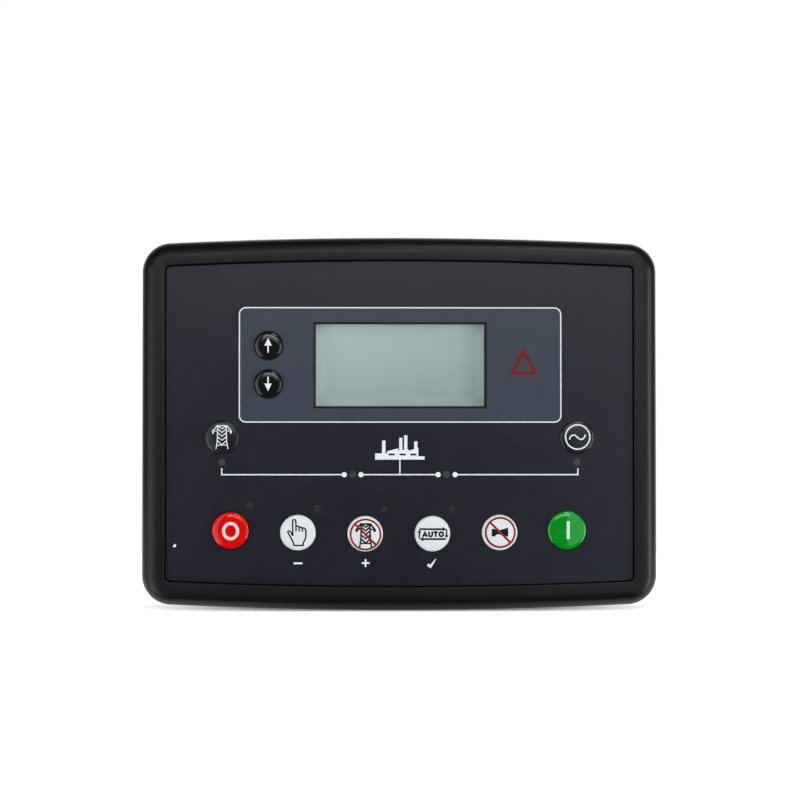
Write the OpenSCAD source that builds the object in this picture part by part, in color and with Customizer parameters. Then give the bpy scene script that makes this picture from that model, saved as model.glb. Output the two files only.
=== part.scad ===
// Generator set controller for mounting in a panel cut-out.
// The modules are drawn in the face frame: x to the right, y up, z out of the panel towards
// the operator, with z = 0 on the panel's front surface. face_frame() then stands the part up.

/* [Bezel] */
// Overall width of the bezel
bezel_w = 216.8; // [196:0.1:240]
// Overall height of the bezel at its middle
bezel_h = 157.2; // [150:0.1:180]
// How far the top and bottom edges bow out at the middle
bezel_bow = 3; // [1:0.1:4]
// Width of the raised border around the fascia
border_w = 10; // [8.5:0.1:12]
// Height of the border's crest above the panel
border_t = 11; // [9.5:0.1:14]
// Radius of the border's outer edge
outer_round = 6.5; // [4:0.1:7.5]
// How far the border falls from its crest to the fascia's recess, before that edge is rounded
crest_drop = 1; // [0.5:0.1:1.2]
// Radius of the border's inner edge
inner_round = 0.5; // [0.2:0.05:0.7]
// Corner radius of the recess that takes the fascia
recess_corner_r = 2.4; // [1:0.1:4]
// Thickness of the front plate behind the fascia
plate_t = 2.5; // [1.5:0.1:3.5]

/* [Fascia overlay] */
// Depth of the fascia's face below the border's crest
fascia_step = 2; // [1.5:0.1:3]
// Thickness of the overlay sheet
overlay_t = 0.5; // [0.2:0.05:1]
// Gap around the overlay's edge
overlay_gap = 0.5; // [0.1:0.05:0.6]

/* [Panel cut-out and gasket] */
// Width of the panel cut-out
cutout_w = 182; // [176:1:190]
// Height of the panel cut-out
cutout_h = 137; // [132:1:140]
// Gap between the case and the cut-out, each side
cutout_clear = 1; // [0.5:0.1:2]
// Corner radius of the case
body_r = 3; // [1:0.5:6]
// Width of the rim outside the gasket's channel
gasket_inset = 2.4; // [1.5:0.1:3.5]
// Width of the gasket's channel
gasket_w = 4; // [2.5:0.1:4.5]
// Depth of the gasket's channel
gasket_t = 3; // [2:0.1:4]

/* [Display] */
// Width of the display opening
window_w = 72.1; // [60:0.1:80]
// Height of the display opening
window_h = 35.7; // [28:0.1:40]
// Display opening's centre, across
window_x = 0.3; // [-4:0.1:4]
// Display opening's centre, up
window_y = 24.6; // [22:0.1:28]
// Thickness of the clear window
lens_t = 1; // [0.6:0.1:1.5]
// Width of the ledge that the clear window lies on
lens_ledge = 1.5; // [1:0.1:3]
// Margin of the liquid crystal cell around the opening
lcd_margin = 4; // [2:0.1:5]
// Thickness of the liquid crystal cell
lcd_glass_t = 2.2; // [1.4:0.1:3]
// Sheet thickness of the display's metal frame
lcd_sheet = 0.6; // [0.3:0.1:1]

/* [Keys] */
// Diameter of the stop key
stop_key_d = 15.5; // [14:0.1:18]
// Diameter of the start key
start_key_d = 16.2; // [14:0.1:18]
// Diameter of the four mode keys between them
mode_key_d = 14.9; // [13:0.1:17]
// Diameter of the arrow keys
arrow_key_d = 11.7; // [9:0.1:13]
// Diameter of the two transfer keys
transfer_key_d = 14.2; // [11:0.1:16]
// Rise of the stop and start keys above the fascia
stop_key_rise = 1.8; // [1:0.1:3]
// Rise of the mode keys above the fascia
mode_key_rise = 1.5; // [0.8:0.1:3]
// Rise of the arrow keys above the fascia
arrow_key_rise = 1.9; // [1:0.1:3]
// Rise of the transfer keys above the fascia
transfer_key_rise = 1.2; // [0.6:0.1:3]
// Distance between keys in the bottom row
key_pitch = 28.2; // [26:0.1:29]
// Middle of the bottom row, across
key_row_x = -0.35; // [-2:0.05:2]
// Height of the bottom row's lowest point
key_row_y = -46.3; // [-50:0.1:-42]
// How far the bottom row rises at its ends
key_row_bow = 1.45; // [0:0.05:3]
// Arrow keys' place, across
arrow_x = -55.1; // [-58:0.1:-54]
// Distance between the two arrow keys
arrow_pitch = 16.1; // [15.5:0.1:20]
// Transfer keys' place, across, each side of the middle
transfer_x = 74.5; // [70:0.1:76]
// Transfer keys' place, up
transfer_y = -5.8; // [-10:0.1:0]
// Radial gap between a key and its hole
key_gap = 0.3; // [0.2:0.05:0.6]
// Travel of a key
key_travel = 0.5; // [0.2:0.05:1]
// Width of the flange that holds a key in
key_flange_w = 1.6; // [1:0.1:2]
// Thickness of that flange
key_flange_t = 1.2; // [0.8:0.1:1.6]

/* [Lamps] */
// Diameter of a lamp
lamp_d = 3; // [2:0.1:4]
// Height of the lamps under the transfer keys
source_lamp_y = -16.4; // [-20:0.1:-15]
// On-load lamps' place, across, each side of the middle
load_lamp_x = 19.65; // [15:0.05:25]
// Height of the on-load lamps
load_lamp_y = -21.5; // [-26:0.1:-18]
// Mode lamps' place from the middle of their key, across
mode_lamp_dx = 8.1; // [7:0.1:12]
// Mode lamps' place from the middle of their key, up
mode_lamp_dy = 10.1; // [9:0.1:13]
// Alarm lamp's place, across
alarm_x = 52.1; // [51:0.1:60]
// Alarm lamp's place, up
alarm_y = 24.6; // [20:0.1:30]
// Diameter of the light well behind the alarm sign
alarm_well_d = 11; // [8:0.1:12]

/* [Circuit boards] */
// Room between the front plate and the display board
board_space = 8; // [7:0.1:11]
// Thickness of the circuit boards
board_t = 1.6; // [1:0.1:2]
// Gap between the circuit boards
board_link_h = 9.2; // [7:0.1:14]
// Height of the parts on the main board
part_h = 14.4; // [13:0.1:18]

/* [Rear case] */
// Wall thickness of the case
case_wall = 2.2; // [1.6:0.1:3]
// Depth of the bezel's skirt behind the panel's front surface
skirt_h = 4; // [4:0.1:7]
// Height of the raised middle of the case
hump_h = 100; // [92:1:101]
// Clearance under the main board
board_lift = 2; // [1.5:0.1:4]

/* [Terminal plugs] */
// Distance between terminals
pitch = 5.08; // [3.5:0.01:5.08]
// Depth of a plug behind its header
plug_t = 11.4; // [10:0.1:14]
// Gap between a plug and the sides of its strip
plug_gap = 1.45; // [0.6:0.05:2]
// Gap between plugs in a row
plug_space = 4; // [2:0.1:5]

/* [Hidden] */
$fn = 64;
bite = 0.5;

// Heights in the face frame, from the front to the back
z_fascia = border_t - fascia_step;
z_plate = z_fascia - overlay_t;
z_cavity = z_plate - plate_t;
z_board = z_cavity - board_space;
z_board_back = z_board - board_t;
z_main = z_board_back - board_link_h;
z_main_back = z_main - board_t;
z_step_in = z_main_back - board_lift;
z_step = z_step_in - case_wall;
z_hump_in = z_main_back - part_h;
z_hump = z_hump_in - case_wall;
z_split = -skirt_h;

// Bezel outline: a bow of large radius, tangent to round corners, tangent to straight sides
bezel_corner_r = border_w + recess_corner_r;
bow_r = (pow(bezel_w / 2, 2) + pow(bezel_bow, 2)) / (2 * bezel_bow);
bow_cy = bezel_h / 2 - bow_r;
corner_x = bezel_w / 2 - bezel_corner_r;
corner_y = bow_cy + sqrt(pow(bow_r - bezel_corner_r, 2) - pow(corner_x, 2));
corner_a = atan2(corner_y - bow_cy, corner_x);
corner_steps = 8;
bow_steps = 14;
round_steps = 7;
crest_steps = 4;
edge_steps = 3;
rect_steps = 6;
z_edge = border_t - outer_round;
lap = recess_corner_r / 2;
crest_run = border_w - outer_round;
crest_r = (pow(crest_run, 2) + pow(crest_drop, 2)) / (2 * crest_drop);
edge_rise = sqrt(pow(crest_r - inner_round, 2) - pow(crest_run - inner_round, 2));
edge_a = atan2(edge_rise, crest_run - inner_round);

// Case behind the panel
body_w = cutout_w - 2 * cutout_clear;
body_h = cutout_h - 2 * cutout_clear;
cavity_w = body_w - 2 * case_wall;
cavity_h = body_h - 2 * case_wall;
least_corner_r = 0.3;
cavity_r = max(body_r - case_wall, least_corner_r);
lip_gap = 0.15;
lip_t = 1.4;
lip_in = lip_gap + lip_t;
lip_h = 2.5;
lip_root = 4;
board_gap = 0.6;
board_w = cavity_w - 2 * (lip_in + board_gap);
board_h = cavity_h - 2 * (lip_in + board_gap);
pocket_rib = 2;
pocket_count = 4;

// Screws: [shank diameter, head diameter, head height]
case_screw = [3, 5.6, 2.2];
board_screw = [2.5, 4.6, 1.6];
recess_share = 0.6;
recess_w = 0.9;
screw_gap = 0.05;
pass_gap = 0.3;
case_boss_d = 8;
board_boss_d = 6;
case_screw_inset = 7;
case_screw_bite = 8;
case_screw_seat = 3;
board_screw_bite = 5;
case_screw_places = [for (sx = [-1, 1], sy = [-1, 1])
    [sx * (cavity_w / 2 - case_screw_inset), sy * (cavity_h / 2 - case_screw_inset)]];
board_edge = 4;
display_screw_top_x = 40;
display_screw_places = concat(
    [for (s = [-1, 1]) [s * display_screw_top_x, board_h / 2 - board_edge]],
    [for (s = [-1, 1]) [s * key_pitch, board_edge - board_h / 2]]);
pillar_d = 7;
pillar_inset = 9;
main_screw_places = [for (sx = [-1, 1], sy = [-1, 1])
    [sx * (cavity_w / 2 - pillar_inset), sy * (hump_h / 2 - case_wall - pillar_d)]];
notch = case_screw_inset + case_boss_d / 2 - lip_in;

// Keys: [x, y, diameter, rise above the fascia, fullness of the dome]
row_x = [for (i = [0 : 5]) key_row_x + (i - 2.5) * key_pitch];
function row_y(x) = key_row_y + key_row_bow * pow((x - key_row_x) / (2.5 * key_pitch), 2);
stop_key_dome = 3.8;
mode_key_dome = 3.2;
arrow_key_dome = 4.4;
transfer_key_dome = 2.4;
stop_key_at = [row_x[0], row_y(row_x[0]), stop_key_d, stop_key_rise, stop_key_dome];
manual_key_at = [row_x[1], row_y(row_x[1]), mode_key_d, mode_key_rise, mode_key_dome];
test_key_at = [row_x[2], row_y(row_x[2]), mode_key_d, mode_key_rise, mode_key_dome];
auto_key_at = [row_x[3], row_y(row_x[3]), mode_key_d, mode_key_rise, mode_key_dome];
mute_key_at = [row_x[4], row_y(row_x[4]), mode_key_d, mode_key_rise, mode_key_dome];
start_key_at = [row_x[5], row_y(row_x[5]), start_key_d, stop_key_rise, stop_key_dome];
up_key_at = [arrow_x, window_y + arrow_pitch / 2, arrow_key_d, arrow_key_rise, arrow_key_dome];
down_key_at = [arrow_x, window_y - arrow_pitch / 2, arrow_key_d, arrow_key_rise, arrow_key_dome];
mains_key_at = [-transfer_x, transfer_y, transfer_key_d, transfer_key_rise, transfer_key_dome];
generator_key_at = [transfer_x, transfer_y, transfer_key_d, transfer_key_rise, transfer_key_dome];
key_places = [stop_key_at, manual_key_at, test_key_at, auto_key_at, mute_key_at, start_key_at,
    up_key_at, down_key_at, mains_key_at, generator_key_at];
dome_steps = 10;
key_seat_gap = 0.1;
z_flange = z_cavity - key_seat_gap;
z_flange_back = z_flange - key_flange_t;

// Push switches under the keys
switch_w = 12;
switch_t = 3.8;
plunger_d = 6.4;
plunger_gap = 0.2;
plunger_rise = 1.4;
plunger_depth = 1.4;
plunger_floor = 0.5;
stem_d = 5;
z_switch = z_board + switch_t;
z_plunger = z_switch + plunger_rise;
z_switch_floor = z_switch - plunger_depth - key_travel - plunger_floor;

// Lamps: [x, y]
lamp_places = concat(
    [for (s = [-1, 1]) [s * transfer_x, source_lamp_y]],
    [for (s = [-1, 1]) [s * load_lamp_x, load_lamp_y]],
    [for (i = [0 : 3]) [row_x[i] + mode_lamp_dx, row_y(row_x[i]) + mode_lamp_dy]]);
lamp_gap = 0.2;
lamp_body_h = 3.6;
lamp_rim = 0.4;
lamp_rim_t = 0.8;
lamp_lead = 0.5;
lamp_lead_space = 1.27;
z_lamp = z_plate - lamp_gap - lamp_d / 2 - lamp_body_h;

// Display stack
lens_gap = 0.1;
lcd_gap = 0.1;
lcd_side_gap = 0.2;
lcd_w = window_w + 2 * lcd_margin;
lcd_h = window_h + 2 * lcd_margin;
lcd_view_gap = 0.6;
z_lcd = z_cavity - lcd_gap - lcd_sheet;
z_lcd_back = z_lcd - lcd_glass_t;

// Plug rows: widths from left to right
top_ways = [13, 10];
bottom_ways = [7, 8, 4, 5];
plug_end = 0.6;
function plug_w(n) = n * pitch + 2 * plug_end;
top_widths = [for (n = top_ways) plug_w(n)];
bottom_widths = [for (n = bottom_ways) plug_w(n)];
function sum_to(list, n) = n <= 0 ? 0 : list[n - 1] + sum_to(list, n - 1);
function row_place(widths, i) = sum_to(widths, i) + i * plug_space + widths[i] / 2
    - (sum_to(widths, len(widths)) + (len(widths) - 1) * plug_space) / 2;
strip_h = (body_h - hump_h) / 2;
strip_y = (hump_h + strip_h) / 2;
plug_h = strip_h - 2 * plug_gap;
plug_stand = 2;
header_gap = 0.15;
header_wall = 0.8;
header_base = 1.6;
header_h = 9;
nose_h = header_h - 2 * (header_wall + header_gap);
nose_t = 4;
pin_w = 1;
pin_gap = 0.1;
z_plug = z_step - plug_stand;
z_header = z_plug + header_gap;
z_plug_back = z_plug - plug_t;
plug_chamfer = 2.5;
terminal_d = 3.6;
terminal_well = 1.6;
terminal_t = 2.2;
z_terminal = z_plug_back + terminal_well + terminal_t;
terminal_slot = 0.6;
wire_w = 3.4;
wire_h = 3.6;
wire_depth = 6;
wire_z = 4.6;
case_cut_gap = 0.4;

// Square data socket in the back of the case
usb_place = [58, -24];
usb_w = 12;
usb_h = 10.8;
usb_t = part_h + case_wall;
usb_cavity_w = 8.45;
usb_cavity_h = 7.78;
usb_cavity_t = 8.9;
usb_chamfer = 1.6;
usb_tongue_w = 5.6;
usb_tongue_h = 3.2;
usb_tongue_t = 7;
z_usb = z_main_back - usb_t;

// Parts on the boards
processor_w = 14;
processor_t = 1.4;
link_w = 40;
link_t = 5;
link_y = -30;
relay_w = 15.5;
relay_h = 19;
relay_t = 12;
relay_count = 6;
relay_pitch = 20;
relay_y = 22;
capacitor_d = 10;
capacitor_t = 12.5;
capacitor_pitch = 16;
capacitor_y = -22;
capacitor_places = [for (i = [-1 : 1]) [i * capacitor_pitch, capacitor_y]];

// Case details
clip_y = 38;
clip_slots = [-6, 0, 6];
clip_slot_w = 2.4;
clip_slot_t = 6;
clip_slot_end = 1.5;
hump_r = 2.5;
hump_draft = 0.8;
case_edge = 0.8;
hump_in_h = hump_h - 2 * case_wall;

// Turns the face frame upright: z out of the panel becomes -Y, and y up becomes +Z
module face_frame() {
    rotate([90, 0, 0]) children();
}

// A layer of a 2D shape between two heights
module layer(z_low, z_high) {
    translate([0, 0, z_low]) linear_extrude(z_high - z_low) children();
}

function arc_points(c, r, a0, a1, steps, last) =
    [for (i = [0 : steps - (last ? 0 : 1)]) let (a = a0 + (a1 - a0) * i / steps)
        [c[0] + r * cos(a), c[1] + r * sin(a)]];

// The bezel's outline, moved in by inset
function half_outline(inset) = concat(
    arc_points([corner_x, corner_y], bezel_corner_r - inset, 0, corner_a, corner_steps, false),
    arc_points([0, bow_cy], bow_r - inset, corner_a, 180 - corner_a, bow_steps, false),
    arc_points([-corner_x, corner_y], bezel_corner_r - inset, 180 - corner_a, 180, corner_steps, true));
function outline(inset) = let (half = half_outline(inset)) concat(half, [for (p = half) -p]);

// A rectangle with round corners about the origin
function quarter_corners(w, h, r) = concat(
    arc_points([w / 2 - r, h / 2 - r], r, 0, 90, rect_steps, true),
    arc_points([r - w / 2, h / 2 - r], r, 90, 180, rect_steps, true));
function round_rect(w, h, r) = let (half = quarter_corners(w, h, r)) concat(half, [for (p = half) -p]);

// Section of the border as [inset, height]: outer round, fall from the crest, inner edge, wall,
// ledge under the plate
border_section = concat(
    arc_points([outer_round, z_edge], outer_round, 180, 90, round_steps, false),
    arc_points([outer_round, border_t - crest_r], crest_r, 90, edge_a, crest_steps, false),
    arc_points([border_w - inner_round, border_t - crest_r + edge_rise], inner_round,
        edge_a, 0, edge_steps, true),
    [[border_w, z_plate], [border_w + lap, z_plate], [border_w + lap, z_edge]]);

// The section carried around the bezel's outline
module border() {
    rings = len(border_section);
    stations = len(outline(0));
    polyhedron(
        points = [for (s = border_section) for (q = outline(s[0])) [q[0], q[1], s[1]]],
        faces = [for (j = [0 : rings - 1], i = [0 : stations - 1])
            let (k = (j + 1) % rings, n = (i + 1) % stations)
            [j * stations + i, k * stations + i, k * stations + n, j * stations + n]]);
}

module at_places(places) {
    for (p = places) translate([p[0], p[1], 0]) children();
}

// Round column between two heights
module column(d, z_low, z_high) {
    translate([0, 0, z_low]) cylinder(d = d, h = z_high - z_low);
}

module window_square(grow) {
    translate([window_x, window_y]) square([window_w + 2 * grow, window_h + 2 * grow], center = true);
}

// Ring of the gasket's channel, with the walls moved in by gap
module gasket_ring(gap) {
    difference() {
        polygon(outline(gasket_inset + gap));
        polygon(outline(gasket_inset + gasket_w - gap));
    }
}

// Pockets that keep the flange's section even beside the case
module flange_pockets() {
    x_in = body_w / 2 + pocket_rib;
    x_out = bezel_w / 2 - gasket_inset - gasket_w - pocket_rib;
    y_run = 2 * (corner_y - pocket_rib);
    y_step = y_run / pocket_count;
    for (s = [-1, 1], i = [0 : pocket_count - 1])
        translate([s * (x_in + x_out) / 2, (i + 0.5) * y_step - y_run / 2, z_cavity / 2])
            cube([x_out - x_in, y_step - pocket_rib, z_cavity], center = true);
}

module bezel() {
    color("#1c1b1b") face_frame() difference() {
        union() {
            border();
            layer(0, z_edge) polygon(outline(0));
            layer(0, z_plate) polygon(outline(border_w + lap / 2));
            layer(z_split, bite) polygon(round_rect(body_w, body_h, body_r));
        }
        difference() {
            layer(z_split - 1, z_cavity) polygon(round_rect(cavity_w, cavity_h, cavity_r));
            at_places(case_screw_places) column(case_boss_d, z_split, z_cavity + bite);
            at_places(display_screw_places) column(board_boss_d, z_board, z_cavity + bite);
        }
        layer(-1, gasket_t) gasket_ring(0);
        translate([0, 0, -bite]) flange_pockets();
        for (k = key_places)
            translate([k[0], k[1], 0]) column(k[2] + 2 * key_gap, z_cavity - bite, z_plate + 1);
        at_places(lamp_places) column(lamp_d + 2 * lamp_gap, z_cavity - bite, z_plate + 1);
        translate([alarm_x, alarm_y, 0]) column(alarm_well_d, z_cavity - bite, z_plate + 1);
        layer(z_cavity - bite, z_plate + 1) window_square(0);
        layer(z_plate - lens_t, z_plate + 1) window_square(lens_ledge);
        at_places(case_screw_places)
            column(case_screw[0] + 2 * screw_gap, z_split - 1, z_split + case_screw_bite);
        at_places(display_screw_places)
            column(board_screw[0] + 2 * screw_gap, z_board - 1, z_board + board_screw_bite + bite);
    }
}

module fascia_overlay() {
    color("#2a2b33") face_frame() layer(z_plate, z_fascia) difference() {
        polygon(outline(border_w + overlay_gap));
        window_square(0);
        for (k = key_places) translate([k[0], k[1]]) circle(d = k[2] + 2 * key_gap);
    }
}

module panel_gasket() {
    color("#3a3a3c") face_frame() layer(0, gasket_t) gasket_ring(lip_gap);
}

module display_window() {
    color("#dfe6e6", 0.4) face_frame() layer(z_plate - lens_t, z_plate)
        window_square(lens_ledge - lens_gap);
}

// Dome of a key: a superellipse from its middle to its rim
function dome_points(r, rise, fullness) = [for (i = [0 : dome_steps]) let (a = 90 * i / dome_steps)
    [r * pow(sin(a), 2 / fullness), z_fascia + rise * pow(max(cos(a), 0), 2 / fullness)]];

module key(k) {
    r = k[2] / 2;
    face_frame() translate([k[0], k[1], 0]) rotate_extrude() polygon(concat(
        dome_points(r, k[3], k[4]),
        [[r, z_flange], [r + key_flange_w, z_flange], [r + key_flange_w, z_flange_back],
            [stem_d / 2, z_flange_back], [stem_d / 2, z_plunger], [0, z_plunger]]));
}

module plunger(k) {
    color("#2b2b2b") face_frame() translate([k[0], k[1], 0])
        column(plunger_d, z_switch - plunger_depth, z_plunger);
}

module push_switches() {
    color("#333333") face_frame() at_places(key_places) difference() {
        translate([-switch_w / 2, -switch_w / 2, z_board]) cube([switch_w, switch_w, switch_t]);
        column(plunger_d + 2 * plunger_gap, z_switch_floor, z_switch + 1);
    }
}

module lcd_cell() {
    color("#95a9a8") face_frame() translate([window_x, window_y, z_lcd_back])
        translate([-lcd_w / 2, -lcd_h / 2, 0]) cube([lcd_w, lcd_h, lcd_glass_t]);
}

module lcd_backlight() {
    color("#e8ebe4") face_frame() translate([window_x, window_y, z_board])
        translate([-lcd_w / 2, -lcd_h / 2, 0]) cube([lcd_w, lcd_h, z_lcd_back - z_board]);
}

// Folded sheet frame that holds the cell down on its backlight
module lcd_frame() {
    grow = lcd_margin + lcd_side_gap;
    color("#8f9295") face_frame() difference() {
        layer(z_board, z_lcd + lcd_sheet) window_square(grow + lcd_sheet);
        layer(z_board - 1, z_lcd) window_square(grow);
        layer(z_lcd - 1, z_lcd + 2) window_square(lcd_view_gap);
    }
}

// Domed lamp with a rim at its foot and two leads down to the board
module lamp() {
    rotate_extrude() {
        translate([0, z_lamp]) square([lamp_d / 2, lamp_body_h]);
        translate([0, z_lamp]) square([lamp_d / 2 + lamp_rim, lamp_rim_t]);
        intersection() {
            translate([0, z_lamp + lamp_body_h]) circle(lamp_d / 2);
            translate([0, z_lamp + lamp_body_h]) square(lamp_d);
        }
    }
    for (s = [-1, 1]) translate([s * lamp_lead_space - lamp_lead / 2, -lamp_lead / 2, z_board])
        cube([lamp_lead, lamp_lead, z_lamp - z_board + bite]);
}

module status_lamps() {
    color("#c9c6a0") face_frame() at_places(lamp_places) lamp();
}

module alarm_lamp() {
    color("#a8342e") face_frame() translate([alarm_x, alarm_y, 0]) lamp();
}

// Board outline with notches for the case's screw columns
module board_shape() {
    difference() {
        square([board_w, board_h], center = true);
        for (sx = [-1, 1], sy = [-1, 1])
            translate([sx * board_w / 2, sy * board_h / 2]) square(2 * notch, center = true);
    }
}

module display_board() {
    color("#1f5a35") face_frame() layer(z_board_back, z_board) difference() {
        board_shape();
        at_places(display_screw_places) circle(d = board_screw[0] + 2 * pass_gap);
    }
}

module main_board() {
    color("#1f5a35") face_frame() layer(z_main_back, z_main) difference() {
        board_shape();
        at_places(main_screw_places) circle(d = board_screw[0] + 2 * pass_gap);
    }
}

// Pan-head screw with a cross recess, its head seated at z = 0 and its shank along -z
module screw(size, length) {
    difference() {
        rotate_extrude() {
            translate([0, -length]) square([size[0] / 2, length + bite]);
            square([size[1] / 2, size[2]]);
        }
        for (a = [0, 90]) rotate([0, 0, a])
            translate([0, 0, size[2]]) cube([size[1] * recess_share, recess_w, size[2]], center = true);
    }
}

module display_board_screws() {
    color("#b5b8bb") face_frame() at_places(display_screw_places) translate([0, 0, z_board_back])
        mirror([0, 0, 1]) screw(board_screw, board_t + board_screw_bite);
}

module main_board_screws() {
    color("#b5b8bb") face_frame() at_places(main_screw_places) translate([0, 0, z_main])
        screw(board_screw, board_t + board_screw_bite);
}

module case_screws() {
    color("#77797c") face_frame() at_places(case_screw_places)
        translate([0, 0, z_step + case_screw_seat])
        mirror([0, 0, 1]) screw(case_screw, z_split + case_screw_bite - bite - z_step - case_screw_seat);
}

module processor() {
    color("#202022") face_frame() translate([0, 0, z_board_back - processor_t / 2])
        cube([processor_w, processor_w, processor_t], center = true);
}

// Stacking connector between the two boards
module board_link() {
    color("#26262a") face_frame() layer(z_main, z_board_back) translate([0, link_y])
        square([link_w, link_t], center = true);
}

module output_relays() {
    color("#2d4f86") face_frame() for (i = [0 : relay_count - 1])
        translate([(i - (relay_count - 1) / 2) * relay_pitch, relay_y, z_main_back - relay_t / 2])
            cube([relay_w, relay_h, relay_t], center = true);
}

module smoothing_capacitors() {
    color("#2a2a33") face_frame() at_places(capacitor_places)
        column(capacitor_d, z_main_back - capacitor_t, z_main_back);
}

// Places each plug's children: row sign, ways and place along the row
module at_plug(top, i) {
    widths = top ? top_widths : bottom_widths;
    translate([row_place(widths, i), top ? strip_y : -strip_y, 0])
        mirror([0, top ? 0 : 1, 0]) children();
}

module at_ways(n) {
    for (i = [0 : n - 1]) translate([(i - (n - 1) / 2) * pitch, 0, 0]) children();
}

// Open shroud that a plug's nose goes into
module header(n) {
    difference() {
        layer(z_header, z_main_back) square([plug_w(n), header_h], center = true);
        layer(z_header - 1, z_main_back - header_base)
            square([plug_w(n) - 2 * header_wall, header_h - 2 * header_wall], center = true);
        at_ways(n) layer(z_header, z_main_back + 1) square(pin_w, center = true);
    }
}

module terminal_headers() {
    color("#2f7a4b") face_frame() {
        for (i = [0 : len(top_ways) - 1]) at_plug(true, i) header(top_ways[i]);
        for (i = [0 : len(bottom_ways) - 1]) at_plug(false, i) header(bottom_ways[i]);
    }
}

module pins(n) {
    at_ways(n) layer(z_plug, z_main_back) square(pin_w, center = true);
}

module header_pins() {
    color("#c8b878") face_frame() {
        for (i = [0 : len(top_ways) - 1]) at_plug(true, i) pins(top_ways[i]);
        for (i = [0 : len(bottom_ways) - 1]) at_plug(false, i) pins(bottom_ways[i]);
    }
}

// Screw plug: wires enter from its outer side and the clamping screws face the back
module plug(n) {
    difference() {
        union() {
            rotate([90, 0, 90]) linear_extrude(plug_w(n), center = true) polygon([
                [-plug_h / 2, z_plug], [plug_h / 2, z_plug], [plug_h / 2, z_plug_back + plug_chamfer],
                [plug_h / 2 - plug_chamfer, z_plug_back], [-plug_h / 2, z_plug_back]]);
            layer(z_plug - bite, z_plug + nose_t)
                square([plug_w(n) - 2 * (header_wall + header_gap), nose_h], center = true);
        }
        at_ways(n) {
            layer(z_plug - bite, z_plug + nose_t + 1) square(pin_w + 2 * pin_gap, center = true);
            column(terminal_d + 2 * screw_gap, z_plug_back - 1, z_terminal);
            translate([-wire_w / 2, plug_h / 2 - wire_depth, z_plug - wire_z - wire_h / 2])
                cube([wire_w, wire_depth + 1, wire_h]);
        }
    }
}

module place_plug(top, i) {
    color("#2f8a52") face_frame() at_plug(top, i) plug(top ? top_ways[i] : bottom_ways[i]);
}

module terminal_screw() {
    difference() {
        column(terminal_d, z_plug_back + terminal_well, z_terminal);
        translate([0, 0, z_plug_back + terminal_well])
            cube([terminal_d + 1, terminal_slot, terminal_slot * 2], center = true);
    }
}

module terminal_screws() {
    color("#c2c4c6") face_frame() {
        for (i = [0 : len(top_ways) - 1]) at_plug(true, i) at_ways(top_ways[i]) terminal_screw();
        for (i = [0 : len(bottom_ways) - 1]) at_plug(false, i) at_ways(bottom_ways[i]) terminal_screw();
    }
}

// Mouth of the square data socket, with its two cut corners
module usb_mouth() {
    w = usb_cavity_w / 2;
    h = usb_cavity_h / 2;
    polygon([[-w, -h], [w, -h], [w, h - usb_chamfer], [w - usb_chamfer, h], [usb_chamfer - w, h],
        [-w, h - usb_chamfer]]);
}

module usb_socket() {
    color("#b9bcbf") face_frame() translate(usb_place) difference() {
        layer(z_usb, z_main_back) square([usb_w, usb_h], center = true);
        layer(z_usb - 1, z_usb + usb_cavity_t) usb_mouth();
    }
}

module usb_tongue() {
    color("#e6e6e2") face_frame() translate(usb_place)
        layer(z_usb + usb_cavity_t - usb_tongue_t, z_usb + usb_cavity_t)
        square([usb_tongue_w, usb_tongue_h], center = true);
}

// One of a drafted block's outlines: moved in by inset, at height z
function block_ring(size, r, inset, z) =
    [for (q = round_rect(size[0] - 2 * inset, size[1] - 2 * inset, r)) [q[0], q[1], z]];

// Block that draws in by draft from z_front to z_back, with a chamfer round its back
module drafted_block(size, r, z_front, z_back, draft) {
    rings = [block_ring(size, r, 0, z_front), block_ring(size, r, draft, z_back + case_edge),
        block_ring(size, r, draft + case_edge, z_back)];
    n = len(rings[0]);
    sides = [for (j = [0 : 1], i = [0 : n - 1])
        [j * n + i, j * n + (i + 1) % n, (j + 1) * n + (i + 1) % n, (j + 1) * n + i]];
    front = [for (i = [0 : n - 1]) n - 1 - i];
    back = [for (i = [0 : n - 1]) 2 * n + i];
    polyhedron(points = concat(rings[0], rings[1], rings[2]), faces = concat([front, back], sides));
}

// Slots in the case's sides for the hooks of the panel clips
module clip_slots_cut() {
    for (sx = [-1, 1], sy = [-1, 1], y = clip_slots)
        translate([sx * body_w / 2, sy * clip_y + y, z_step_in + clip_slot_end + clip_slot_t / 2])
            cube([4 * case_wall, clip_slot_w, clip_slot_t], center = true);
}

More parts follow.
